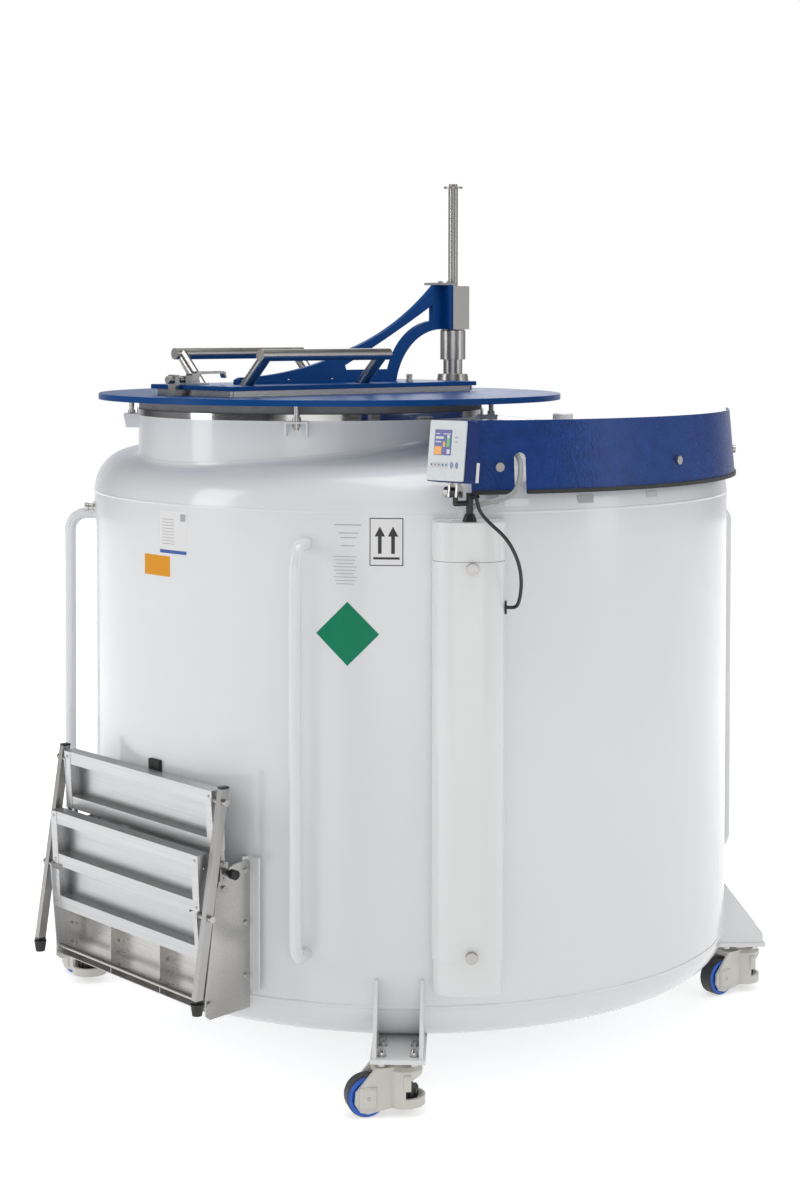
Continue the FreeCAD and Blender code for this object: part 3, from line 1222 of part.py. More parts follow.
def step_axles():
    """Lower axle right across, and two short upper axles, with cap nuts outside the side plates."""
    w = STEPS_HALF_W
    pieces = []
    lower = [rod_y(AXLE_ROD_R, LOWER_PIVOT, -w, w)]
    for side in (-1, 1):
        nut = rod_y(NUT_R, LOWER_PIVOT, side * w, side * (w + 6))
        lower.append(nut)
        upper = [
            rod_y(AXLE_ROD_R, UPPER_PIVOT, side * (TREAD_HALF_W - TREAD_SHEET - 4), side * w),
            rod_y(NUT_R, UPPER_PIVOT, side * w, side * (w + 6)),
            rod_y(NUT_R, UPPER_PIVOT, side * (TREAD_HALF_W - TREAD_SHEET - 5), side * (TREAD_HALF_W - TREAD_SHEET - REST_GAP))]
        pieces.append(fused(upper))
    pieces.append(fused(lower))
    return group([steps_place(p) for p in pieces])


def tread(face_at, z_range, pivot, joint):
    """Tread of one bent sheet on a frame: deck to the wall side, bars and strips outside."""
    w = TREAD_HALF_W
    z0, z1 = z_range
    face = face_at
    deck_at = face - TREAD_DEPTH
    deck = box(deck_at, deck_at + TREAD_SHEET, -w, w, z0, z1)
    grooves = []
    count = int((z1 - z0 - 10) // 14)
    for i in range(count):
        z = z0 + 8 + 14 * i
        grooves.append(box(deck_at - 1, deck_at + 1, -w + 12, w - 12, z, z + 5))
    lips = [box(deck_at, face, -w, w, z, z + TREAD_SHEET) for z in (z0, z1 - TREAD_SHEET)]
    bars = []
    bar_count = 3 if z1 - z0 > 200 else 2
    for i in range(bar_count):
        z = z0 + (z1 - z0 - TREAD_BAR) * i / (bar_count - 1)
        bars.append(box(deck_at + 1, face, -w, w, z, z + TREAD_SHEET))
        bars.append(box(deck_at + 1, face, -w, w, z + TREAD_BAR - TREAD_SHEET, z + TREAD_BAR))
        bars.append(box(face - TREAD_SHEET, face, -w, w, z, z + TREAD_BAR))
    ends = []
    for side in (-1, 1):
        y = side * w
        y0 = min(y, y - side * TREAD_SHEET)
        ends.append(box(deck_at, face, y0, y0 + TREAD_SHEET, z0, z1))
        s0 = min(y, y - side * TREAD_STRIP)
        ends.append(box(face - TREAD_SHEET, face + 1, s0, s0 + TREAD_STRIP, z0, z1))
    body = fused([deck] + lips + bars + ends)
    body = body.cut(grooves)
    middle = V(face, 0, (z0 + z1) / 2)
    body.rotate(middle, V(0, 1, 0), TREAD_LEAN)
    arms = []
    for side in (-1, 1):
        y = side * w
        y0 = min(y, y - side * TREAD_SHEET)
        half = ARM_W / 2
        lean = radians(CRANK_LEAN)
        across = (cos(lean) * half, -sin(lean) * half)
        outline = [
            (pivot[0] - across[0], pivot[1] - across[1]), (pivot[0] + across[0], pivot[1] + across[1]),
            (joint[0] + across[0], joint[1] + across[1]), (joint[0] - across[0], joint[1] - across[1])]
        plate = plate_xz(outline, y0, y0 + TREAD_SHEET)
        eyes = [rod_y(half, p, y0, y0 + TREAD_SHEET) for p in (pivot, joint)]
        arms += [plate] + eyes
    return fused([body] + arms)


def tread_bores(shape, pivot, joint):
    w = TREAD_HALF_W
    for side in (-1, 1):
        shape = shape.cut(rod_y(AXLE_ROD_R + PIVOT_GAP, pivot, side * (w - 40), side * (w + 5)))
        shape = shape.cut(rod_y(AXLE_ROD_R + LEG_PIVOT_GAP, joint, side * (w - 40), side * (w + 5)))
        shape = shape.cut(rod_y(NUT_R + 1, joint, side * (w - 40), side * (w - TREAD_SHEET)))
    return shape


def lower_tread():
    shape = tread(LOWER_FACE_AT, LOWER_TREAD_Z, LOWER_PIVOT, LOWER_JOINT)
    return steps_place(tread_bores(shape, LOWER_PIVOT, LOWER_JOINT))


def upper_tread():
    shape = tread(UPPER_FACE_AT, UPPER_TREAD_Z, UPPER_PIVOT, UPPER_JOINT)
    shape = tread_bores(shape, UPPER_PIVOT, UPPER_JOINT)
    along = V(CRANK_X, 0, CRANK_Z).normalize()
    start = V(UPPER_PIVOT[0], 0, UPPER_PIVOT[1]) + along * ARM_SLOT_FROM
    end = start + along * ARM_SLOT_LENGTH
    half = ARM_SLOT_W / 2
    side = V(along.z, 0, -along.x) * half
    corners = [start - side, start + side, end + side, end - side]
    slot = plate_xz([(c.x, c.z) for c in corners], -TREAD_HALF_W - 1, TREAD_HALF_W + 1)
    ends = [rod_y(half, (p.x, p.z), -TREAD_HALF_W - 1, TREAD_HALF_W + 1) for p in (start, end)]
    return steps_place(shape.cut(fused([slot] + ends)))


def leg_x(z):
    share = (UPPER_JOINT[1] - z) / -PIVOT_STEP[1]
    return UPPER_JOINT[0] + share * PIVOT_STEP[0]


LEG_IN = STEPS_HALF_W + LEG_GAP
LEG_OUT = LEG_IN + LEG_T


def leg_tube(shrink, y0, y1, z0, z1):
    half = LEG_D / 2 - shrink
    outline = [
        (leg_x(z0) - half, z0), (leg_x(z0) + half, z0), (leg_x(z1) + half, z1), (leg_x(z1) - half, z1)]
    return plate_xz(outline, y0, y1)


def step_legs():
    """Square tube legs with their top plugs, pivot bushes and cap nuts."""
    legs = []
    for side in (-1, 1):
        y0 = min(side * LEG_IN, side * LEG_OUT)
        outer = leg_tube(0, y0, y0 + LEG_T, LEG_LOW_Z, LEG_TOP_Z)
        inner = leg_tube(LEG_WALL, y0 + LEG_WALL, y0 + LEG_T - LEG_WALL, LEG_LOW_Z + 6, LEG_TOP_Z - 6)
        leg = outer.cut(inner)
        for joint in (UPPER_JOINT, LOWER_JOINT):
            leg = leg.cut(rod_y(AXLE_ROD_R, joint, y0 - 1, y0 + LEG_T + 1))
        legs.append(steps_place(leg))
    return group(legs)


def leg_bolts():
    bolts = []
    for side in (-1, 1):
        for joint in (UPPER_JOINT, LOWER_JOINT):
            inside = TREAD_HALF_W - TREAD_SHEET
            shank = rod_y(AXLE_ROD_R, joint, side * (inside - 5), side * LEG_IN)
            spacer = rod_y(NUT_R + 1, joint, side * (TREAD_HALF_W + REST_GAP), side * LEG_IN)
            head = rod_y(NUT_R, joint, side * (inside - 5), side * (inside - REST_GAP))
            nut = rod_y(NUT_R, joint, side * LEG_OUT, side * (LEG_OUT + NUT_H))
            through = rod_y(AXLE_ROD_R, joint, side * LEG_IN, side * LEG_OUT)
            bolts.append(steps_place(fused([shank, spacer, head, through, nut])))
    return group(bolts)


def leg_feet():
    feet = []
    for side in (-1, 1):
        y = side * (LEG_IN + LEG_T / 2)
        x = leg_x(LEG_LOW_Z)
        stem = rod(FOOT_STEM_R, (x, y, LEG_LOW_Z), (x, y, LEG_LOW_Z - FOOT_STEM_H))
        z = LEG_LOW_Z - FOOT_STEM_H
        rubber = Part.makeCone(FOOT_R - 4, FOOT_R, FOOT_H, V(x, y, z - FOOT_H))
        feet.append(steps_place(fused([stem, rubber])))
    return group(feet)


def lock_plunger():
    at = plunger_place()
    w = STEPS_HALF_W
    pin = rod_y(PLUNGER_PIN_R, at, TREAD_HALF_W + REST_GAP, w + 30)
    neck = rod_y(PLUNGER_PIN_R + 2, at, w + 18, w + 32)
    knob = rod_y(PLUNGER_KNOB_R, at, w + 30, w + 46)
    return steps_place(fused([pin, neck, knob]))


def plunger_guide():
    """Threaded guide of the plunger on the outside of the side plate."""
    at = plunger_place()
    w = STEPS_HALF_W
    flange = box(at[0] - 11, at[0] + 11, w, w + 3, at[1] - 22, at[1] + 20)
    barrel = rod_y(PLUNGER_PIN_R + 5, at, w, w + 17)
    bore = rod_y(PLUNGER_PIN_R + BORE_GAP, at, w - 1, w + 20)
    screws = [rod_y(3.5, (at[0], at[1] + dz), w + 3, w + 5.5) for dz in (-17, 15)]
    return steps_place(fused([flange, barrel] + screws).cut(bore))


def main():
    nodes = {
        "outer_vessel": outer_vessel(),
        "inner_vessel": inner_vessel(),
        "neck_gasket": neck_gasket(),
        "neck_brackets": neck_brackets(),
        "locating_pins": locating_pins(),
        "main_lid": main_lid(),
        "lid_core": lid_core(),
        "lid_frame": lid_frame(),
        "small_lid": small_lid(),
        "small_lid_core": small_lid_core(),
        "lid_grips": lid_grips(),
        "column_base": column_base(),
        "lift_post": lift_post(),
        "lift_block": lift_block(),
        "lift_arm": lift_arm(),
        "block_cap": block_cap(),
        "latch_keeper": latch_keeper(),
        "latch_draw_bolt": latch_draw_bolt(),
        "latch_base": latch_base(),
        "latch_lever": latch_lever(),
        "turning_rack": turning_rack(),
        "dome_caps": dome_caps(),
        "wall_handles": wall_handles(),
        "caster_brackets": caster_brackets(),
        "caster_bolts": caster_bolts(),
        "caster_plates": caster_plates(),
        "pillar_duct": pillar_duct(),
        "pillar_cover": pillar_cover(),
        "pillar_knobs": pillar_knobs(),
        "cable_grommet": cable_grommet(),
        "shoulder_cover": shoulder_cover(),
        "cover_trim": cover_trim(),
        "cover_screws": cover_screws(),
        "display_housing": display_housing(),
        "display_panel": display_panel(),
        "display_stand": display_stand(),
        "clamp_knob": clamp_knob(),
        "display_cable": display_cable(),
        "grey_hose": grey_hose(),
        "step_carrier": step_carrier(),
        "step_axles": step_axles(),
        "lower_tread": lower_tread(),
        "upper_tread": upper_tread(),
        "step_legs": step_legs(),
        "leg_bolts": leg_bolts(),
        "leg_feet": leg_feet(),
        "lock_plunger": lock_plunger(),
        "plunger_guide": plunger_guide()}
    nodes.update(caster_nodes())
    os.makedirs("parts", exist_ok=True)
    for name, shape in nodes.items():
        shape.exportStep("parts/" + name + ".step")


main()
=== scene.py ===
import bpy
import bmesh
from math import atan2, cos, degrees, hypot, pi, radians, sin, sqrt
from mathutils import Matrix, Vector


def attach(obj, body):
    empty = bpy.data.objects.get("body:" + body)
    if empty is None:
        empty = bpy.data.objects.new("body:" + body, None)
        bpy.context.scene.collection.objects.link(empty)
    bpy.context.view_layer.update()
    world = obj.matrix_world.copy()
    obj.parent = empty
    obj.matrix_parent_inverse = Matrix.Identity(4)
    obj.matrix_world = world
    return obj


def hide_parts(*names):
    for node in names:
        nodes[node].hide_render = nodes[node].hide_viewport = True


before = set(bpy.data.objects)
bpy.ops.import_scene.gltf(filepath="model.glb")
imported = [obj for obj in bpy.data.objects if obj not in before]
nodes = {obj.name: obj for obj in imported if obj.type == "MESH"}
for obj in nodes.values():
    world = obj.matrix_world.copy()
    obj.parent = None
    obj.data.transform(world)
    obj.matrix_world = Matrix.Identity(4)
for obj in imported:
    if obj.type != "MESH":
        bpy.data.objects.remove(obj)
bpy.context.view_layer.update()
MM = 0.001

# Sizes shared with the part, in millimetres and degrees
TANK_R = 800.0
SEAM_LOW_Z = 212.0
SEAM_HIGH_Z = 1303.0
TOP_KNUCKLE = 100.0
TOP_RISE = 188.0
NECK_R = 419.0
NECK_XY = (-237.588, -237.588)
LID_ANGLE = 45.0
LID_TOP_Z = 1548.0
SMALL_LID_TOP_Z = 1572.8
ARM_FOOT = 8.0
COLUMN_X = 151.0
COLUMN_FLANGE = 13.5
STEPS_ANGLE = 223.0
TREAD_LEAN = 3.0
LOWER_TREAD = (879.0, 314.0, 549.0)
UPPER_TREAD = (843.0, 549.0, 687.0)
TREAD_HALF = 302.7
CRANK = 200.0
CRANK_ANGLE = 5.0
CRANK_FOOT = (818.0, 466.0)
LEG_SLOPE = 39.0 / 250.0
LEG_INNER_Y = 314.0
LEG_OUTER_Y = 330.0
LEG_TOP_Z = 695.0
LEG_FOOT_Z = 238.0
LEG_HALF = 10.0
HINGE_POINT = (121.0, -866.0, 1354.0)
DISPLAY_YAW = -35.0
DISPLAY_TILT = -7.0
CASTER_RING = 850.0
CASTER_TRAIL = 74.0
WHEEL_Z = 45.0
CASTERS = {
    "front": (270.0, 197.0),
    "right": (4.0, 219.0),
    "rear": (90.0, 60.0),
    "left": (175.0, 125.0),
}


# Camera, found from the photograph's outline

CAMERA_AT = (0.15322, -5.48553, 1.71437)
CAMERA_TURN = (88.4511, -0.0994, 1.8864)
CAMERA_LENS = 64.377
CAMERA_SHIFT = -0.18106


def add_camera():
    data = bpy.data.cameras.new("photo_camera")
    data.sensor_width = 36.0
    data.lens = CAMERA_LENS
    data.shift_y = CAMERA_SHIFT
    data.clip_end = 100.0
    camera = bpy.data.objects.new("photo_camera", data)
    camera.location = CAMERA_AT
    camera.rotation_euler = [radians(turn) for turn in CAMERA_TURN]
    bpy.context.collection.objects.link(camera)
    bpy.context.scene.camera = camera


add_camera()


# Materials

NOISE_SPAN = (0.3, 0.7)
FINER = 7
SMOOTHEST = 0.02


def material(name, colour, rough=0.4, metal=0.0, coat=0.0, coat_rough=0.05, vary=0.05,
             vary_size=4.0, rough_vary=0.06, bump=0.0, bump_size=900.0, bump_depth=0.0002,
             stretch=(1, 1, 1), turn=0.0, edge=0.7, ior=1.5, spec=0.5):
    """Node material: broad colour drift, finer roughness drift, fine bump and softened edges.

    edge is in millimetres. turn and stretch lay the noise along a brushing direction."""
    mat = bpy.data.materials.new(name)
    mat.use_nodes = True
    make = mat.node_tree.nodes.new
    link = mat.node_tree.links.new
    shader = mat.node_tree.nodes["Principled BSDF"]
    shader.inputs["Metallic"].default_value = metal
    shader.inputs["IOR"].default_value = ior
    shader.inputs["Specular IOR Level"].default_value = spec
    shader.inputs["Coat Weight"].default_value = coat
    shader.inputs["Coat Roughness"].default_value = coat_rough

    place = make("ShaderNodeTexCoord")
    turned = make("ShaderNodeMapping")
    turned.inputs["Rotation"].default_value = (0, 0, radians(-turn))
    mapping = make("ShaderNodeMapping")
    mapping.inputs["Scale"].default_value = stretch
    link(place.outputs["Object"], turned.inputs["Vector"])
    link(turned.outputs["Vector"], mapping.inputs["Vector"])

    def noise(size, detail):
        texture = make("ShaderNodeTexNoise")
        texture.inputs["Scale"].default_value = size
        texture.inputs["Detail"].default_value = detail
        link(mapping.outputs["Vector"], texture.inputs["Vector"])
        return texture.outputs["Fac"]

    ramp = make("ShaderNodeValToRGB")
    shades = ([c * (1 - vary) for c in colour], [min(1.0, c * (1 + vary)) for c in colour])
    for element, position, shade in zip(ramp.color_ramp.elements, NOISE_SPAN, shades):
        element.position = position
        element.color = (*shade, 1)
    link(noise(vary_size, 4.0), ramp.inputs["Fac"])
    link(ramp.outputs["Color"], shader.inputs["Base Color"])

    span = make("ShaderNodeMapRange")
    span.inputs["From Min"].default_value = NOISE_SPAN[0]
    span.inputs["From Max"].default_value = NOISE_SPAN[1]
    span.inputs["To Min"].default_value = max(SMOOTHEST, rough - rough_vary)
    span.inputs["To Max"].default_value = rough + rough_vary
    link(noise(vary_size * FINER, 3.0), span.inputs["Value"])
    link(span.outputs["Result"], shader.inputs["Roughness"])

    soft = make("ShaderNodeBevel")
    soft.samples = 4
    soft.inputs["Radius"].default_value = edge * MM
    normal = soft.outputs["Normal"]
    if bump:
        relief = make("ShaderNodeBump")
        relief.inputs["Strength"].default_value = bump
        relief.inputs["Distance"].default_value = bump_depth
        link(noise(bump_size, 2.0), relief.inputs["Height"])
        link(normal, relief.inputs["Normal"])
        normal = relief.outputs["Normal"]
    link(normal, shader.inputs["Normal"])
    if coat:
        link(normal, shader.inputs["Coat Normal"])
    return mat


WHITE = (0.80, 0.815, 0.83)
STEEL = (0.47, 0.46, 0.445)
ALONG_LID = dict(turn=LID_ANGLE, stretch=(0.6, 60, 60))
ALONG_STEPS = dict(turn=STEPS_ANGLE, stretch=(60, 0.6, 60))
UPRIGHT = dict(stretch=(60, 60, 0.6))
LEVEL = dict(stretch=(3, 3, 140))
SHORT_WAVES = dict(bump_size=40, bump_depth=0.0004)
PRINT = dict(bump=0.05, edge=0.1)
SCREEN = dict(vary_size=60, edge=0.1)

M = {
    "paint": material("white_enamel", WHITE, 0.20, coat=0.3, vary=0.018, vary_size=1.6,
                      rough_vary=0.05, bump=0.05, edge=2.0, **SHORT_WAVES),
    "powder_white": material("white_powder_coat", (0.82, 0.825, 0.83), 0.22, coat=0.2,
                             coat_rough=0.08, vary=0.015, vary_size=2, rough_vary=0.03,
                             bump=0.03, edge=1.2, **SHORT_WAVES),
    "steel": material("brushed_steel", STEEL, 0.30, 1.0, vary=0.04, vary_size=9,
                      rough_vary=0.03, **LEVEL),
    "steel_lid": material("brushed_steel_lid", STEEL, 0.27, 1.0, vary=0.08, vary_size=3,
                          bump=0.02, bump_size=14, **ALONG_LID),
    "steel_up": material("ground_steel", (0.40, 0.39, 0.38), 0.34, 1.0, vary=0.03,
                         vary_size=5, rough_vary=0.02, **UPRIGHT),
    "steel_sheet": material("steel_sheet", (0.50, 0.49, 0.475), 0.30, 1.0, vary=0.10,
                            vary_size=5, bump=0.03, bump_size=16, **ALONG_STEPS),
    "steel_knob": material("knurled_steel", (0.42, 0.41, 0.40), 0.38, 1.0, vary=0.06,
                           vary_size=60, bump=0.05, bump_size=500),
    "polished": material("polished_steel", (0.50, 0.49, 0.48), 0.10, 1.0, vary_size=6,
                         rough_vary=0.03, bump=0.01, bump_size=30, stretch=(1, 1, 8)),
    "anodised": material("blue_anodised", (0.003, 0.060, 0.235), 0.32, vary_size=3,
                         rough_vary=0.03, edge=0.9, ior=1.35, spec=0.2),
    "powder_blue": material("blue_powder_coat", (0.010, 0.048, 0.22), 0.32, vary=0.16,
                            vary_size=30, bump=0.7, bump_size=120, bump_depth=0.0016,
                            spec=0.30),
    "foam": material("core_foam", (0.62, 0.60, 0.54), 0.85, vary=0.08, vary_size=40,
                     bump=0.6, bump_size=500),
    "gasket": material("grey_gasket", (0.20, 0.20, 0.20), 0.6, vary=0.12, vary_size=30,
                       bump=0.3),
    "rubber": material("black_rubber", (0.018, 0.018, 0.018), 0.55, vary=0.3, vary_size=40,
                       bump=0.4),
    "tyre": material("wheel_tread", (0.030, 0.031, 0.034), 0.5, vary=0.2, vary_size=40,
                     bump=0.2, bump_size=500),
    "plastic": material("black_plastic", (0.015, 0.015, 0.016), 0.34, vary=0.2,
                        vary_size=30, bump=0.3, bump_size=1200),
    "plastic_grey": material("grey_plastic", (0.33, 0.33, 0.33), 0.42, vary=0.08,
                             vary_size=30, bump=0.2),
    "aluminium": material("brushed_aluminium", (0.53, 0.535, 0.54), 0.34, 0.9, vary=0.07,
                          bump=0.04, bump_size=18, **ALONG_STEPS),
    "cast": material("cream_casting", (0.70, 0.68, 0.63), 0.42, coat=0.2, coat_rough=0.3,
                     vary_size=20, bump=0.5, bump_size=420, bump_depth=0.0004, edge=2.2),
    "wheel": material("blue_wheel", (0.02, 0.13, 0.62), 0.34, vary=0.10, vary_size=30,
                      bump=0.15, edge=1.2),
    "blue_case": material("blue_case", (0.002, 0.022, 0.145), 0.40, vary=0.08,
                          vary_size=20, bump=0.35, spec=0.2),
    "panel": material("panel_film", (0.66, 0.70, 0.72), 0.30, coat=0.2, vary=0.03,
                      vary_size=20, bump=0.05),
    "cord": material("black_cord", (0.016, 0.016, 0.016), 0.45, vary=0.25, vary_size=60,
                     bump=0.25, bump_size=800),
    "hose": material("grey_hose", (0.36, 0.37, 0.37), 0.40, vary=0.08, vary_size=40,
                     bump=0.2, bump_size=600),
    "label_white": material("label_white", (0.84, 0.84, 0.84), 0.35, vary=0.02, **PRINT),
    "label_pale": material("label_pale", (0.55, 0.56, 0.57), 0.35, vary=0.03, **PRINT),
    "label_orange": material("label_orange", (0.80, 0.33, 0.01), vary=0.04, spec=0.25,
                             **PRINT),
    "label_green": material("label_green", (0.001, 0.22, 0.11), vary=0.06, spec=0.25,
                            **PRINT),
    "ink": material("ink_black", (0.02, 0.02, 0.022), 0.45, vary=0.10, **PRINT),
    "ink_grey": material("ink_grey", (0.42, 0.43, 0.45), 0.45, **PRINT),
    "ink_blue": material("ink_blue", (0.03, 0.10, 0.38), **PRINT),
    "ink_red": material("ink_red", (0.55, 0.06, 0.06), **PRINT),
    "screen_violet": material("screen_violet", (0.075, 0.07, 0.34), 0.15, vary=0.10,
                              **SCREEN),
    "screen_orange": material("screen_orange", (0.88, 0.40, 0.05), 0.15, **SCREEN),
    "screen_green": material("screen_green", (0.05, 0.62, 0.05), 0.15, **SCREEN),
}

NODE_MATERIALS = {
    "paint": ["outer_vessel", "wall_handles", "neck_brackets", "dome_caps"],
    "powder_white": ["caster_brackets", "pillar_duct", "pillar_cover"],
    "polished": ["inner_vessel", "caster_bolts"],
    "steel": ["locating_pins", "column_base", "lift_block", "cover_screws", "leg_bolts",
              "step_axles", "plunger_guide", "caster_plates"],
    "steel_knob": ["pillar_knobs", "clamp_knob"],
    "steel_lid": ["lid_frame", "lid_grips", "latch_keeper", "latch_draw_bolt",
                  "latch_base", "latch_lever"],
    "steel_up": ["lift_post", "step_legs", "turning_rack"],
    "steel_sheet": ["step_carrier"],
    "anodised": ["main_lid", "small_lid", "lift_arm"],
    "powder_blue": ["shoulder_cover"],
    "foam": ["lid_core", "small_lid_core"],
    "gasket": ["neck_gasket"],
    "plastic_grey": ["block_cap"],
    "rubber": ["cover_trim", "cable_grommet", "leg_feet"],
    "plastic": ["display_stand", "lock_plunger"] + ["caster_leveller_" + c for c in CASTERS],
    "aluminium": ["lower_tread", "upper_tread"],
    "blue_case": ["display_housing"],
    "panel": ["display_panel"],
    "cast": ["caster_housing_" + c for c in CASTERS],
    "wheel": ["caster_wheel_" + c for c in CASTERS],
}


def dress(name, mat):
    slots = nodes[name].data.materials
    if not slots:
        slots.append(mat)
    for i in range(len(slots)):
        slots[i] = mat


for key, names in NODE_MATERIALS.items():
    for node_name in names:
        dress(node_name, M[key])


# Mesh tools. Every piece is built in millimetres, in a frame of its own, and placed by a matrix

def turn_z(angle, at=(0, 0, 0)):
    return Matrix.Translation(Vector(at)) @ Matrix.Rotation(radians(angle), 4, "Z")


def towards(at, direction):
    """Frame whose Z runs along a direction."""
    turned = Vector(direction).to_track_quat("Z", "X").to_matrix().to_4x4()
    return Matrix.Translation(Vector(at)) @ turned


LID_FRAME = turn_z(LID_ANGLE)
STEPS_FRAME = turn_z(STEPS_ANGLE)
DISPLAY_FRAME = (turn_z(DISPLAY_YAW, HINGE_POINT)
                 @ Matrix.Rotation(radians(DISPLAY_TILT), 4, "X"))


def piece(name, bm, mat, body, place=Matrix(), sharp=35.0):
    bmesh.ops.transform(bm, matrix=Matrix.Scale(MM, 4) @ place, verts=bm.verts)
    bmesh.ops.recalc_face_normals(bm, faces=bm.faces)
    mesh = bpy.data.meshes.new(name)
    bm.to_mesh(mesh)
    bm.free()
    mesh.materials.append(mat)
    mesh.shade_smooth()
    mesh.set_sharp_from_angle(angle=radians(sharp))
    obj = bpy.data.objects.new(name, mesh)
    bpy.context.collection.objects.link(obj)
    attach(obj, body)


def spin(bm, profile, place=Matrix(), steps=32, arc=None):
    """Surface of revolution about local Z from (radius, z) points.

    arc is (from, to) in degrees: the profile is then closed and so are both ends."""
    start, end = arc or (0.0, 360.0)
    count = steps + 1 if arc else steps
    rings = []
    for i in range(count):
        a = radians(start + (end - start) * i / steps)
        rings.append([bm.verts.new(place @ Vector((r * cos(a), r * sin(a), z)))
                      for r, z in profile])
    links = len(profile) if arc else len(profile) - 1
    for i in range(steps):
        a, b = rings[i], rings[(i + 1) % count]
        for j in range(links):
            k = (j + 1) % len(profile)
            bm.faces.new((a[j], b[j], b[k], a[k]))
    if arc:
        bm.faces.new(rings[0][::-1])
        bm.faces.new(rings[-1])
    bmesh.ops.remove_doubles(bm, verts=bm.verts, dist=0.0005)


def skin_rings(bm, rings):
    """Surface through rings of vertices, from the last ring on to the first one."""
    for a, b in zip(rings, rings[1:] + rings[:1]):
        for j in range(len(a) - 1):
            bm.faces.new((a[j], b[j], b[j + 1], a[j + 1]))


def slab(bm, low, high, place=Matrix(), corner=0.0, segments=2):
    """Box with rounded edges between two corners."""
    low, high = Vector(low), Vector(high)
    size = high - low
    made = bmesh.ops.create_cube(bm, size=1.0)["verts"]
    shift = Matrix.Translation((low + high) / 2) @ Matrix.Diagonal((*size, 1))
    bmesh.ops.transform(bm, matrix=shift, verts=made)
    if corner:
        edges = list({e for v in made for e in v.link_edges})
        made = bmesh.ops.bevel(bm, geom=edges, offset=corner, segments=segments,
                               affect="EDGES", profile=0.5)["verts"]
    bmesh.ops.transform(bm, matrix=place, verts=made)


SUNK = -0.4


def dome_head(bm, at, direction, radius, height):
    """Domed fastener head with a small skirt, standing on a surface."""
    skirt = 0.25
    profile = [(radius, SUNK), (radius, height * skirt)]
    for i in range(1, 4):
        a = pi / 2 * i / 4
        profile.append((radius * cos(a), height * (skirt + (1 - skirt) * sin(a))))
    profile.append((0.0, height))
    spin(bm, profile, towards(at, direction), 20)


def hex_head(bm, at, direction, radius, height):
    """Hexagon head on a washer, with its chamfer."""
    place = towards(at, direction)
    washer = 1.2
    spin(bm, [(radius * 1.25, SUNK), (radius * 1.25, washer), (radius * 0.6, washer)],
         place, 24)
    spin(bm, [(radius, 1.0), (radius, height - 0.8), (radius * 0.86, height),
              (0.0, height)], place, 6)


def wall_point(angle, s, z, r=TANK_R):
    """Point at a height and radius, s millimetres round the wall from an angle."""
    a = radians(angle) + s / TANK_R
    return Vector((r * cos(a), r * sin(a), z))


def wall_sheet(bm, angle, z, width, height, low, high, spun=0.0, columns=12):
    """Thin plate bent to the wall, between two heights above it. spun turns it on the wall."""
    turn = radians(spun)
    layers = []
    for lift in (low, high):
        rows = []
        for j in range(columns + 1):
            row = []
            for i in range(columns + 1):
                u = width * (i / columns - 0.5)
                v = height * (j / columns - 0.5)
                s = u * cos(turn) - v * sin(turn)
                t = u * sin(turn) + v * cos(turn)
                row.append(bm.verts.new(wall_point(angle, s, z + t, TANK_R + lift)))
            rows.append(row)
        layers.append(rows)
    for rows in layers:
        for near, far in zip(rows, rows[1:]):
            for i in range(columns):
                bm.faces.new((near[i], near[i + 1], far[i + 1], far[i]))
    n = columns
    rim = [(0, i) for i in range(n)] + [(i, n) for i in range(n)]
    rim += [(n, n - i) for i in range(n)] + [(n - i, 0) for i in range(n)]
    for (j, i), (k, m) in zip(rim, rim[1:] + rim[:1]):
        bm.faces.new((layers[0][j][i], layers[0][k][m], layers[1][k][m], layers[1][j][i]))


# Cords, on the routes of the part

CABLE_RADIUS = 4.0
CABLE_ROUTE = [
    (158, -857, 1346), (165, -866, 1345), (168, -880, 1336), (172, -896, 1318),
    (190, -912, 1296), (232, -918, 1260), (256, -900, 1212), (264, -880, 1170),
    (262, -860, 1130), (256, -840, 1106), (248, -834, 1102), (238, -834, 1102),
    (222, -834, 1102)]
RELIEF_AT = (157.2, -855.8, 1346)
RELIEF_DIRECTION = (0.61, -0.78, -0.04)

HOSE_RADIUS = 6.0
HOSE_ROUTE = [
    (216, -655, 1411), (216, -655, 1424), (220, -668, 1443), (234, -702, 1446),
    (249, -734, 1438), (258, -757, 1426), (263, -785, 1412), (263, -808, 1394),
    (259, -826, 1372), (250, -838, 1352), (232, -846, 1341), (206, -850, 1335),
    (182, -850, 1329), (168, -850, 1325), (159, -850, 1322)]


def cord_curve(name, points, radius, mat, node):
    curve = bpy.data.curves.new(name, "CURVE")
    curve.dimensions = "3D"
    spline = curve.splines.new("NURBS")
    spline.points.add(len(points) - 1)
    for point, at in zip(spline.points, points):
        point.co = (at[0] * MM, at[1] * MM, at[2] * MM, 1.0)
    spline.order_u = 3
    spline.use_endpoint_u = True
    spline.use_smooth = True
    curve.resolution_u = 12
    curve.bevel_depth = radius * MM
    curve.bevel_resolution = 5
    curve.use_fill_caps = True
    curve.materials.append(mat)
    obj = bpy.data.objects.new(name, curve)
    bpy.context.collection.objects.link(obj)
    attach(obj, "tank")
    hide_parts(node)


def cable_relief():
    """Rubber sleeve where the cable leaves the display's stand."""
    bm = bmesh.new()
    spin(bm, [(0, -3), (6.5, -3), (7.0, 3), (6.6, 8), (5.6, 13), (5.2, 17), (4.5, 20),
              (3.6, 20)], towards(RELIEF_AT, RELIEF_DIRECTION), 24)
    piece("cable_relief", bm, M["rubber"], "tank")


cord_curve("cable_lead", CABLE_ROUTE, CABLE_RADIUS, M["cord"],
           "display_cable")
cord_curve("hose_line", HOSE_ROUTE, HOSE_RADIUS, M["hose"],
           "grey_hose")
cable_relief()


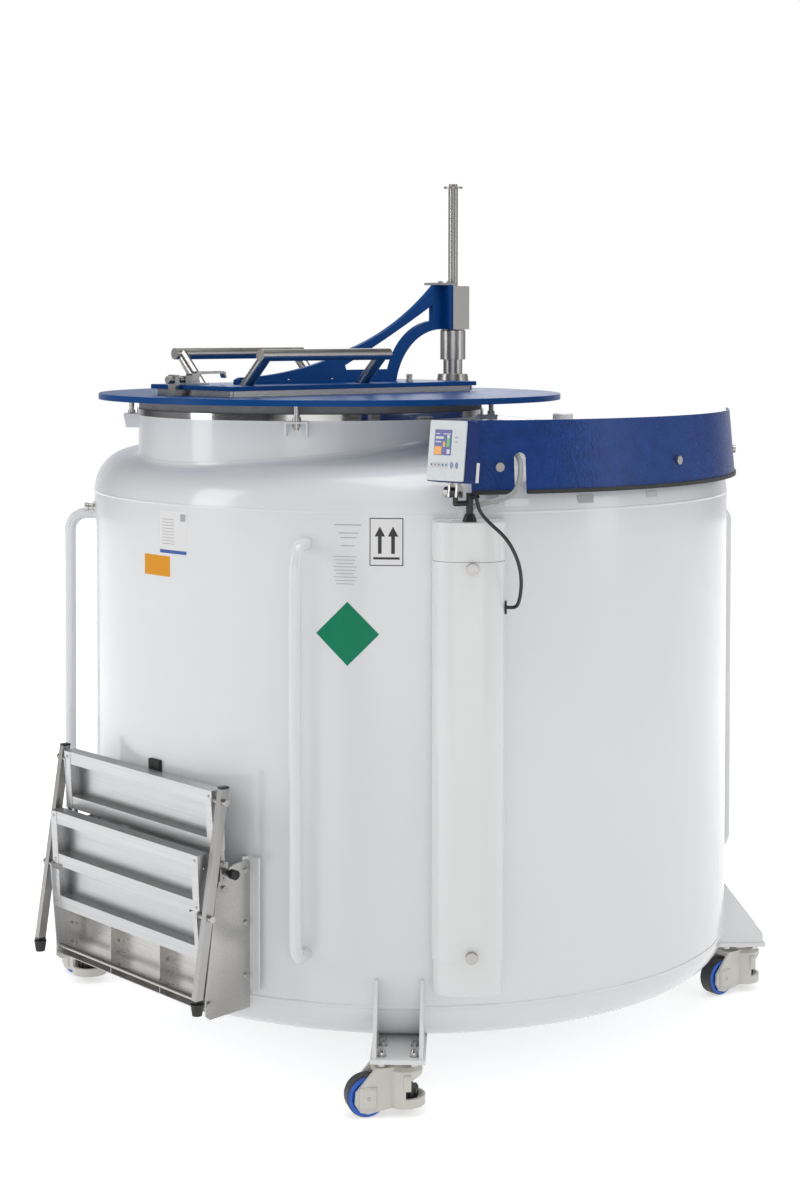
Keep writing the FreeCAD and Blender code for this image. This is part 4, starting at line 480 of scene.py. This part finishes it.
# Weld seams and the neck's fillet

WELD_SHARP = 80.0
SEAM_SUNK = 0.6
SEAM_STEPS = 720
FILLET_REACH = 11.0
FILLET_STEPS = 240


def seam(name, z, width, height):
    """Weld bead round the wall, with the small waves of its runs."""
    bm = bmesh.new()
    profile = []
    for i in range(9):
        a = pi * i / 8
        profile.append((TANK_R - SEAM_SUNK + (height + SEAM_SUNK) * sin(a),
                        -width / 2 * cos(a)))
    rings = []
    for i in range(SEAM_STEPS):
        a = 2 * pi * i / SEAM_STEPS
        wave = 0.18 * sin(a * 211) + 0.25 * sin(a * 37 + 1.3) + 0.2 * sin(a * 83)
        swell = 0.12 * sin(a * 180)
        rings.append([bm.verts.new(((r + swell) * cos(a), (r + swell) * sin(a),
                                    z + dz + wave)) for r, dz in profile])
    skin_rings(bm, rings)
    piece(name, bm, M["paint"], "tank", sharp=WELD_SHARP)


def dome_z(r):
    """Height of the dished head at a radius: a crown, then a knuckle down to the seam."""
    side = TANK_R - TOP_KNUCKLE
    crown = (side ** 2 + TOP_RISE ** 2 - TOP_KNUCKLE ** 2) / (2 * (TOP_RISE - TOP_KNUCKLE))
    lean = atan2(side, crown - TOP_RISE)
    if r > side + TOP_KNUCKLE * sin(lean):
        return SEAM_HIGH_Z + sqrt(max(0.0, TOP_KNUCKLE ** 2 - (r - side) ** 2))
    return SEAM_HIGH_Z + TOP_RISE - crown + sqrt(crown ** 2 - r ** 2)


def neck_fillet():
    """Concave weld fillet where the neck meets the dome."""
    bm = bmesh.new()
    rings = []
    for i in range(FILLET_STEPS):
        a = 2 * pi * i / FILLET_STEPS
        nx, ny = cos(a), sin(a)

        def at(r, dz=0.0):
            x, y = NECK_XY[0] + r * nx, NECK_XY[1] + r * ny
            return Vector((x, y, dome_z(hypot(x, y)) + dz))

        corner = at(NECK_R)
        foot = at(NECK_R + FILLET_REACH)
        head = Vector((corner.x, corner.y, corner.z + FILLET_REACH))
        ring = [Vector((head.x - nx, head.y - ny, head.z + 1.0))]
        for j in range(8):
            t = j / 7
            ring.append((1 - t) ** 2 * head + 2 * t * (1 - t) * corner + t * t * foot)
        ring.append(at(NECK_R + FILLET_REACH + 1.5, -1.2))
        rings.append([bm.verts.new(p) for p in ring])
    skin_rings(bm, rings)
    piece("neck_fillet", bm, M["paint"], "tank", sharp=WELD_SHARP)


seam("seam_low", SEAM_LOW_Z, 9.0, 1.8)
seam("seam_high", SEAM_HIGH_Z, 7.0, 0.7)
neck_fillet()


# Label plates on the wall, without their print. Each place is an angle and a height

DATA_LABEL = (228.8, 1238)
ORANGE_LABEL = (224.6, 1159.5)
PRINT_SHEET = (261.7, 1210)
ARROW_LABEL = (267.85, 1239.5)
DIAMOND_LABEL = (261.67, 1036)
SHOULDER_TAGS = (-59.0, 1326)
SHOULDER_PALE_TAG = (-44.5, 1328)
SHOULDER_PLATE = (-71.4, 1324)


def label(name, place, width, height, mat, spun=0.0, low=-0.3, high=0.3):
    bm = bmesh.new()
    wall_sheet(bm, *place, width, height, low, high, spun)
    piece(name, bm, mat, "tank")


def marks(name, place, bars, mat, low=0.2, high=0.45):
    """Plain bars: (across, up, width, height) from the label's centre."""
    bm = bmesh.new()
    angle, z = place
    for s, t, width, height in bars:
        wall_sheet(bm, angle + degrees(s / TANK_R), z + t, width, height, low, high, 0.0, 4)
    piece(name, bm, mat, "tank")


def arrow_marks():
    """Two upright arrows over a bar."""
    bm = bmesh.new()
    angle, z = ARROW_LABEL
    low, high = 0.4, 0.7
    outline = [(-4, -26), (4, -26), (4, 12), (11.5, 12), (0, 34), (-11.5, 12), (-4, 12)]
    for s in (-14.5, 14.5):
        back, face = [[bm.verts.new(wall_point(angle, s + u, z + v, TANK_R + lift))
                       for u, v in outline] for lift in (low, high)]
        bm.faces.new(face)
        bm.faces.new(back[::-1])
        for i in range(len(outline)):
            j = (i + 1) % len(outline)
            bm.faces.new((back[i], back[j], face[j], face[i]))
    wall_sheet(bm, angle, z - 36, 58, 5, low, high, 0.0, 6)
    piece("arrow_label_marks", bm, M["ink"], "tank")


label("data_label", DATA_LABEL, 94, 100, M["label_white"])
marks("data_label_bars", DATA_LABEL, [(-16, 30 - 7 * i, 42, 1.4) for i in range(9)],
      M["ink_grey"])
marks("data_label_band", DATA_LABEL, [(0, -44, 92, 8)], M["ink_blue"])
marks("data_label_block", DATA_LABEL, [(34, 36, 17, 17)], M["ink_grey"])
label("orange_label", ORANGE_LABEL, 97, 47, M["label_orange"])
marks("print_sheet_bars", PRINT_SHEET,
      [(0, 66, 60, 2.2), (2, 48, 44, 1.8), (2, 38, 36, 1.8), (0, 20, 30, 1.4)]
      + [(-6, -4 - 7.5 * i, 52 - 6 * (i % 3), 1.3) for i in range(9)],
      M["ink_grey"], 0.0, 0.2)
label("arrow_label", ARROW_LABEL, 74, 105, M["ink"])
label("arrow_label_face", ARROW_LABEL, 70, 101, M["label_white"],
      0.0, 0.1, 0.5)
label("diamond_label", DIAMOND_LABEL, 100, 100, M["label_green"], 45.0)
marks("shoulder_tags", SHOULDER_TAGS, [(0, 0, 42, 17), (-226, 5, 24, 20)],
      M["ink_grey"], -6.0, -1.2)
marks("shoulder_tag_pale", SHOULDER_PALE_TAG, [(0, 0, 36, 13)],
      M["label_pale"], -6.0, -1.2)
marks("shoulder_plate", SHOULDER_PLATE, [(0, 0, 56, 16)],
      M["label_white"], -5.0, -0.8)
arrow_marks()


# Wall pad behind the steps, and the stub high on the wall at the left

PAD_ANGLE = 224.4
PAD_Z = 690.5
STUB_ANGLE = 185.65
STUB_Z = 1252.0


def wall_fittings():
    bm = bmesh.new()
    centre = wall_point(PAD_ANGLE, 0, PAD_Z)
    slab(bm, (-2, -21, -19), (9, 21, 19), turn_z(PAD_ANGLE, centre), 2.5, 3)
    piece("wall_pad", bm, M["rubber"], "tank")
    bm = bmesh.new()
    out = wall_point(STUB_ANGLE, 0, 0, 1.0)
    start = wall_point(STUB_ANGLE, 0, STUB_Z, TANK_R - 1)
    spin(bm, [(0, 0), (15, 0), (15, 5), (12, 6), (9, 7), (9, 18), (11, 19), (11, 26),
              (9.5, 28), (6, 28), (6, 20), (0, 20)], towards(start, out), 28)
    piece("wall_stub", bm, M["steel"], "tank")


wall_fittings()


# Small parts on the lids

NIPPLE_XY = (-99.0, -100.0)
ARM_SCREWS_X = (-560.0, -420.0, -280.0)
ARM_SCREWS_Y = (-14.0, 14.0)
COLUMN_SCREW_RING = 45.5
UP = (0, 0, 1)


def lid_details():
    bm = bmesh.new()
    spin(bm, [(0, 0), (9.5, 0), (9.5, 2.5), (7.5, 3), (7.0, 12), (7.6, 12.6), (7.6, 18),
              (6.2, 20), (3.2, 20), (3.2, 14), (0, 14)],
         LID_FRAME @ Matrix.Translation((*NIPPLE_XY, SMALL_LID_TOP_Z - 0.2)), 28)
    piece("lid_nipple", bm, M["steel"], "small_lid")
    bm = bmesh.new()
    for x in ARM_SCREWS_X:
        for y in ARM_SCREWS_Y:
            at = LID_FRAME @ Vector((x, y, SMALL_LID_TOP_Z + ARM_FOOT))
            dome_head(bm, at, UP, 4.0, 3.0)
    piece("arm_screws", bm, M["steel"], "small_lid")
    bm = bmesh.new()
    for i in range(6):
        a = radians(30 + 60 * i)
        at = LID_FRAME @ Vector((COLUMN_X + COLUMN_SCREW_RING * cos(a),
                                 COLUMN_SCREW_RING * sin(a), LID_TOP_Z + COLUMN_FLANGE))
        dome_head(bm, at, UP, 3.2, 2.6)
    piece("column_screws", bm, M["steel"], "tank")


lid_details()


# Display front: a plain screen, keys and marks. Bars are (x0, x1, z0, z1) on the panel

PANEL_Y = -43.0
FIRST_LAYER = (-43.45, -42.8)
SECOND_LAYER = (-43.6, -43.3)
THIRD_LAYER = (-43.75, -43.5)
KEY_PITCH = 9.6
CASE_FOOT_Z = 19.5
ARCS_AT = (22.0, 56.0)


def panel_bars(name, mat, bars, layer=FIRST_LAYER):
    bm = bmesh.new()
    for x0, x1, z0, z1 in bars:
        slab(bm, (x0, layer[0], z0), (x1, layer[1], z1), Matrix(), 0.15, 1)
    piece(name, bm, mat, "display", DISPLAY_FRAME)


def keys(x0, x1, z0, z1, which=range(5)):
    """The same bar on several keys of the row."""
    return [(x0 + KEY_PITCH * i, x1 + KEY_PITCH * i, z0, z1) for i in which]


panel_bars("screen", M["screen_violet"], [(-34, 11, 77, 132)])
panel_bars("screen_fields", M["screen_orange"],
           [(-33, -14, 78, 96), (-11, -5, 95, 106)], SECOND_LAYER)
panel_bars("screen_level", M["screen_green"], [(-1, 5.5, 95, 114)],
           SECOND_LAYER)
panel_bars("screen_lines", M["panel"],
           [(-31, -10, 112, 117), (-31, -16, 104, 107), (-31, -20, 122, 124),
            (-12, 8, 122, 124), (-1, 5.5, 114, 121), (0, 8, 80, 90)], SECOND_LAYER)
panel_bars("key_frames", M["ink_grey"], keys(-41, -33.6, 51, 61))
panel_bars("key_faces", M["panel"], keys(-40.5, -34.1, 51.5, 60.5),
           SECOND_LAYER)
panel_bars("key_marks", M["ink_blue"],
           keys(-39, -35.6, 54, 58.4, (0, 2, 3, 4)), THIRD_LAYER)
panel_bars("key_mark_red", M["ink_red"], [(-29.4, -26, 54, 58.4)],
           THIRD_LAYER)
panel_bars("panel_lines", M["ink_grey"],
           [(18, 28, 115, 117), (18, 28, 105, 107)])


def display_back():
    """White terminal strip behind the case, and the small angle that stands on the pillar."""
    bm = bmesh.new()
    slab(bm, (44, 0.5, 23), (47, 17, 66), Matrix(), 0.5, 1)
    piece("terminal_strip", bm, M["label_white"], "display", DISPLAY_FRAME)
    bm = bmesh.new()
    slab(bm, (112, -838, 1289.8), (139, -810, 1292), Matrix(), 0.4, 1)
    slab(bm, (127, -813, 1290), (139, -811, 1313), Matrix(), 0.4, 1)
    piece("pillar_angle", bm, M["powder_white"], "tank")


def steel_case_foot():
    """Steel on the lowest faces of the display's case, where it is hinged."""
    case = nodes["display_housing"]
    case.data.materials.append(M["steel"])
    index = len(case.data.materials) - 1
    inward = DISPLAY_FRAME.inverted()
    for face in case.data.polygons:
        if (inward @ ((case.matrix_world @ face.center) / MM)).z < CASE_FOOT_Z:
            face.material_index = index


def panel_arcs():
    """Arcs of a wireless sign, one inside the other, to both sides."""
    bm = bmesh.new()
    x, z = ARCS_AT
    place = Matrix.Translation((x, PANEL_Y, z)) @ Matrix.Rotation(pi / 2, 4, "X")
    for r in (3.0, 6.0, 9.0):
        for start in (-50, 130):
            spin(bm, [(r, -0.1), (r + 1.3, -0.1), (r + 1.3, 0.5), (r, 0.5)], place, 14,
                 (start, start + 100))
    piece("panel_arcs", bm, M["ink_blue"], "display", DISPLAY_FRAME)


display_back()
steel_case_foot()
panel_arcs()


# Steps: rivets, leg plugs and the carrier's screws. X points away from the tank

RIVET_Y = 288.0
CARRIER_WING_Y = 306.0
CARRIER_FACE_X = 818.0


def tread_rivets(name, body, tread, heights):
    """Rivets on the face and the ends of a folded tread, whose top leans outwards."""
    face, z0, z1 = tread
    middle = Vector((face, 0, (z0 + z1) / 2))
    place = (STEPS_FRAME @ Matrix.Translation(middle)
             @ Matrix.Rotation(radians(TREAD_LEAN), 4, "Y") @ Matrix.Translation(-middle))
    bm = bmesh.new()
    for y in (-RIVET_Y, RIVET_Y):
        for z in heights:
            at = place @ Vector((face + 1, y, z))
            dome_head(bm, at, place.to_3x3() @ Vector((1, 0, 0)), 3.6, 2.2)
    for side in (-1, 1):
        for z in (z0 + 26, (z0 + z1) / 2, z1 - 30):
            at = place @ Vector((face - 15, side * (TREAD_HALF - 0.3), z))
            dome_head(bm, at, place.to_3x3() @ Vector((0, side, 0)), 3.0, 1.6)
    piece(name, bm, M["steel"], body)


def leg_x(z):
    """Where the folded leg's middle stands at a height."""
    crank_x = CRANK * sin(radians(CRANK_ANGLE))
    crank_z = CRANK * cos(radians(CRANK_ANGLE))
    return CRANK_FOOT[0] + crank_x + (CRANK_FOOT[1] + crank_z - z) * LEG_SLOPE


def leg_plugs():
    """Black plugs in the open ends of the legs' tubes."""
    bm = bmesh.new()
    proud = 0.4
    half = LEG_HALF + proud
    for side in (-1, 1):
        y0, y1 = sorted((side * LEG_INNER_Y, side * LEG_OUTER_Y))
        for z, up in ((LEG_TOP_Z, 1), (LEG_FOOT_Z, -1)):
            x = leg_x(z)
            low, high = sorted((z - up * 1.5, z + up * 4.0))
            slab(bm, (x - half, y0 - proud, low), (x + half, y1 + proud, high),
                 Matrix(), 1.2, 2)
    piece("leg_plugs", bm, M["plastic"], "legs", STEPS_FRAME)


def carrier_screws():
    bm = bmesh.new()
    turned = STEPS_FRAME.to_3x3()
    for side in (-1, 1):
        for z in (498, 380, 262):
            at = STEPS_FRAME @ Vector((757, side * CARRIER_WING_Y, z))
            hex_head(bm, at, turned @ Vector((0, side, 0)), 6.0, 6.0)
    heads = [(CARRIER_FACE_X + 1.5, y, z) for y in (-88, 112) for z in (206, 234, 262, 288)]
    heads += [(CARRIER_FACE_X, y, z) for y in (-292, 292) for z in (216, 262, 298)]
    for head in heads:
        dome_head(bm, STEPS_FRAME @ Vector(head), turned @ Vector((1, 0, 0)), 3.4, 3.0)
    piece("carrier_screws", bm, M["steel"], "tank")


tread_rivets("lower_rivets", "lower_tread", LOWER_TREAD, (326, 432, 537))
tread_rivets("upper_rivets", "upper_tread", UPPER_TREAD, (562, 674))
leg_plugs()
carrier_screws()


# Casters: dark treads, axle caps and casting ribs

AXLE_CAP_Y = 33.0
TREAD_FROM_R = 42.8
RIB_LEAN = 98.0


def caster_frame(name):
    """Frame of a caster: origin on the floor under its swivel, wheel towards -X."""
    angle, heading = CASTERS[name]
    at = (CASTER_RING * cos(radians(angle)), CASTER_RING * sin(radians(angle)), 0)
    return turn_z(heading - 180, at)


def dark_tread(name):
    """Dark tread around the blue core of a wheel, on the faces of the wheel's own mesh."""
    place = caster_frame(name)
    centre = place @ Vector((-CASTER_TRAIL, 0, WHEEL_Z))
    axle = place.to_3x3() @ Vector((0, 1, 0))
    wheel = nodes["caster_wheel_" + name]
    wheel.data.materials.append(M["tyre"])
    index = len(wheel.data.materials) - 1
    for face in wheel.data.polygons:
        arm = (wheel.matrix_world @ face.center) / MM - centre
        arm -= axle * arm.dot(axle)
        if arm.length > TREAD_FROM_R:
            face.material_index = index


def caster_details(name):
    place = caster_frame(name)
    bm = bmesh.new()
    for side in (-1, 1):
        spin(bm, [(0, -2), (4.2, -2), (4.2, 0.7), (3.6, 1.0), (2.6, 1.0), (2.2, 0.2),
                  (0, 0.2)],
             place @ Matrix.Translation((-CASTER_TRAIL, side * AXLE_CAP_Y, WHEEL_Z))
             @ Matrix.Rotation(-side * pi / 2, 4, "X"), 20)
    piece("axle_caps_" + name, bm, M["steel"], "caster_" + name)
    bm = bmesh.new()
    for lean in (-RIB_LEAN, RIB_LEAN):
        slab(bm, (40, -8.5, 58), (49.5, 8.5, 93), place @ turn_z(lean, (14, 0, 0)), 2.0, 2)
    piece("casting_ribs_" + name, bm, M["cast"], "caster_" + name)


for corner_name in CASTERS:
    dark_tread(corner_name)
    caster_details(corner_name)


# Floor, lamps and world

FLOOR_RADIUS = 14.0
FLOOR_GREY = 0.88
FLOOR_GLOW = 0.14
GLOW_NEAR = (1.6, 0.42)
GLOW_FAR = (4.5, 0.85)
AMBIENT = 0.46
BACKDROP_RAMP = [(0.06, 0.74), (0.40, 0.40)]
BACKDROP_FROM_Y = (0.72, 0.93)
ROOM_RAMP = [(0.0, 0.30), (0.10, 0.12), (0.32, 0.06), (0.42, 0.55), (0.56, 0.60),
             (0.66, 0.06), (0.88, 0.12), (1.0, 0.60)]
# Sockets of a Mix node for colours
MIX_FACTOR, MIX_A, MIX_B, MIX_RESULT = 0, 6, 7, 2


def sum_node(tree, operation):
    made = tree.nodes.new("ShaderNodeMath")
    made.operation = operation
    return made


def range_node(tree, low, high, to_low=0.0, to_high=1.0):
    made = tree.nodes.new("ShaderNodeMapRange")
    made.inputs["From Min"].default_value = low
    made.inputs["From Max"].default_value = high
    made.inputs["To Min"].default_value = to_low
    made.inputs["To Max"].default_value = to_high
    return made


def grey_ramp(tree, stops, blue=1.0):
    made = tree.nodes.new("ShaderNodeValToRGB")
    elements = made.color_ramp.elements
    while len(elements) < len(stops):
        elements.new(0.5)
    for element, (position, grey) in zip(elements, stops):
        element.position = position
        element.color = (grey, grey, grey * blue, 1)
    return made


def colour_mix(tree):
    made = tree.nodes.new("ShaderNodeMix")
    made.data_type = "RGBA"
    return made


def floor_material():
    """Pale matt floor. Camera and mirror rays see it glow more, and more so further out."""
    mat = bpy.data.materials.new("pale_floor")
    mat.use_nodes = True
    tree = mat.node_tree
    link = tree.links.new
    shader = tree.nodes["Principled BSDF"]
    shader.inputs["Base Color"].default_value = (FLOOR_GREY, FLOOR_GREY, FLOOR_GREY, 1)
    shader.inputs["Roughness"].default_value = 0.9
    shader.inputs["Specular IOR Level"].default_value = 0.0
    place = tree.nodes.new("ShaderNodeTexCoord")
    away = tree.nodes.new("ShaderNodeVectorMath")
    away.operation = "LENGTH"
    fade = range_node(tree, GLOW_NEAR[0], GLOW_FAR[0], GLOW_NEAR[1], GLOW_FAR[1])
    link(place.outputs["Object"], away.inputs[0])
    link(away.outputs["Value"], fade.inputs["Value"])
    path = tree.nodes.new("ShaderNodeLightPath")
    seen = sum_node(tree, "MAXIMUM")
    link(path.outputs["Is Camera Ray"], seen.inputs[0])
    link(path.outputs["Is Glossy Ray"], seen.inputs[1])
    scaled = sum_node(tree, "MULTIPLY")
    link(seen.outputs[0], scaled.inputs[0])
    link(fade.outputs["Result"], scaled.inputs[1])
    strength = sum_node(tree, "ADD")
    strength.inputs[1].default_value = FLOOR_GLOW
    link(scaled.outputs[0], strength.inputs[0])
    glow = tree.nodes.new("ShaderNodeEmission")
    glow.inputs["Color"].default_value = (1, 1, 1, 1)
    link(strength.outputs[0], glow.inputs["Strength"])
    both = tree.nodes.new("ShaderNodeAddShader")
    link(shader.outputs[0], both.inputs[0])
    link(glow.outputs[0], both.inputs[1])
    link(both.outputs[0], tree.nodes["Material Output"].inputs["Surface"])
    return mat


def add_floor():
    bm = bmesh.new()
    bmesh.ops.create_circle(bm, cap_ends=True, segments=96, radius=FLOOR_RADIUS)
    mesh = bpy.data.meshes.new("floor")
    bm.to_mesh(mesh)
    bm.free()
    mesh.materials.append(floor_material())
    floor = bpy.data.objects.new("floor", mesh)
    bpy.context.collection.objects.link(floor)


def add_lamp(name, at, target, size, power):
    data = bpy.data.lights.new(name, "AREA")
    data.shape = "RECTANGLE"
    data.size, data.size_y = size
    data.energy = power
    lamp = bpy.data.objects.new(name, data)
    lamp.location = at
    aim = Vector(target) - Vector(at)
    lamp.rotation_euler = aim.to_track_quat("-Z", "Y").to_euler()
    bpy.context.collection.objects.link(lamp)


def add_world():
    """Even light. Camera rays see white; mirrors and glass see a room with dark sides."""
    world = bpy.data.worlds.new("studio")
    world.use_nodes = True
    tree = world.node_tree
    link = tree.links.new
    ambient = tree.nodes["Background"]
    ambient.inputs["Color"].default_value = (1, 1, 1, 1)
    ambient.inputs["Strength"].default_value = AMBIENT

    place = tree.nodes.new("ShaderNodeTexCoord")
    split = tree.nodes.new("ShaderNodeSeparateXYZ")
    link(place.outputs["Generated"], split.inputs[0])
    across = range_node(tree, -1.0, 1.0)
    room = grey_ramp(tree, ROOM_RAMP)
    link(split.outputs["X"], across.inputs["Value"])
    link(across.outputs["Result"], room.inputs["Fac"])
    pale = grey_ramp(tree, BACKDROP_RAMP, blue=1.04)
    link(split.outputs["Z"], pale.inputs["Fac"])
    side = range_node(tree, *BACKDROP_FROM_Y)
    link(split.outputs["Y"], side.inputs["Value"])
    mirrored = colour_mix(tree)
    link(side.outputs["Result"], mirrored.inputs[MIX_FACTOR])
    link(room.outputs["Color"], mirrored.inputs[MIX_A])
    link(pale.outputs["Color"], mirrored.inputs[MIX_B])

    path = tree.nodes.new("ShaderNodeLightPath")
    backdrop = colour_mix(tree)
    backdrop.inputs[MIX_B].default_value = (1, 1, 1, 1)
    link(path.outputs["Is Camera Ray"], backdrop.inputs[MIX_FACTOR])
    link(mirrored.outputs[MIX_RESULT], backdrop.inputs[MIX_A])
    shown = tree.nodes.new("ShaderNodeBackground")
    shown.inputs["Strength"].default_value = 1.0
    link(backdrop.outputs[MIX_RESULT], shown.inputs["Color"])

    straight = sum_node(tree, "MAXIMUM")
    link(path.outputs["Is Camera Ray"], straight.inputs[0])
    link(path.outputs["Is Glossy Ray"], straight.inputs[1])
    seen = sum_node(tree, "MAXIMUM")
    link(straight.outputs[0], seen.inputs[0])
    link(path.outputs["Is Transmission Ray"], seen.inputs[1])
    mix = tree.nodes.new("ShaderNodeMixShader")
    link(seen.outputs[0], mix.inputs["Fac"])
    link(ambient.outputs[0], mix.inputs[1])
    link(shown.outputs[0], mix.inputs[2])
    link(mix.outputs[0], tree.nodes["World Output"].inputs["Surface"])
    bpy.context.scene.world = world


add_floor()
add_lamp("key", (-4.8, -2.0, 2.5), (0, 0, 0.8), (1.5, 3.2), 54)
add_lamp("fill", (4.8, -2.0, 2.3), (0, 0, 0.8), (1.2, 3.2), 22)
add_lamp("top", (0.4, -0.6, 4.6), (0, 0, 1.0), (3.0, 3.0), 62)
add_lamp("front", (0.4, -6.0, 1.2), (0, 0, 0.9), (3.6, 2.4), 24)
add_lamp("back", (0.5, 4.6, 2.8), (0, 0, 0.9), (3.5, 2.4), 26)
add_world()
bpy.context.scene.view_settings.view_transform = "Standard"
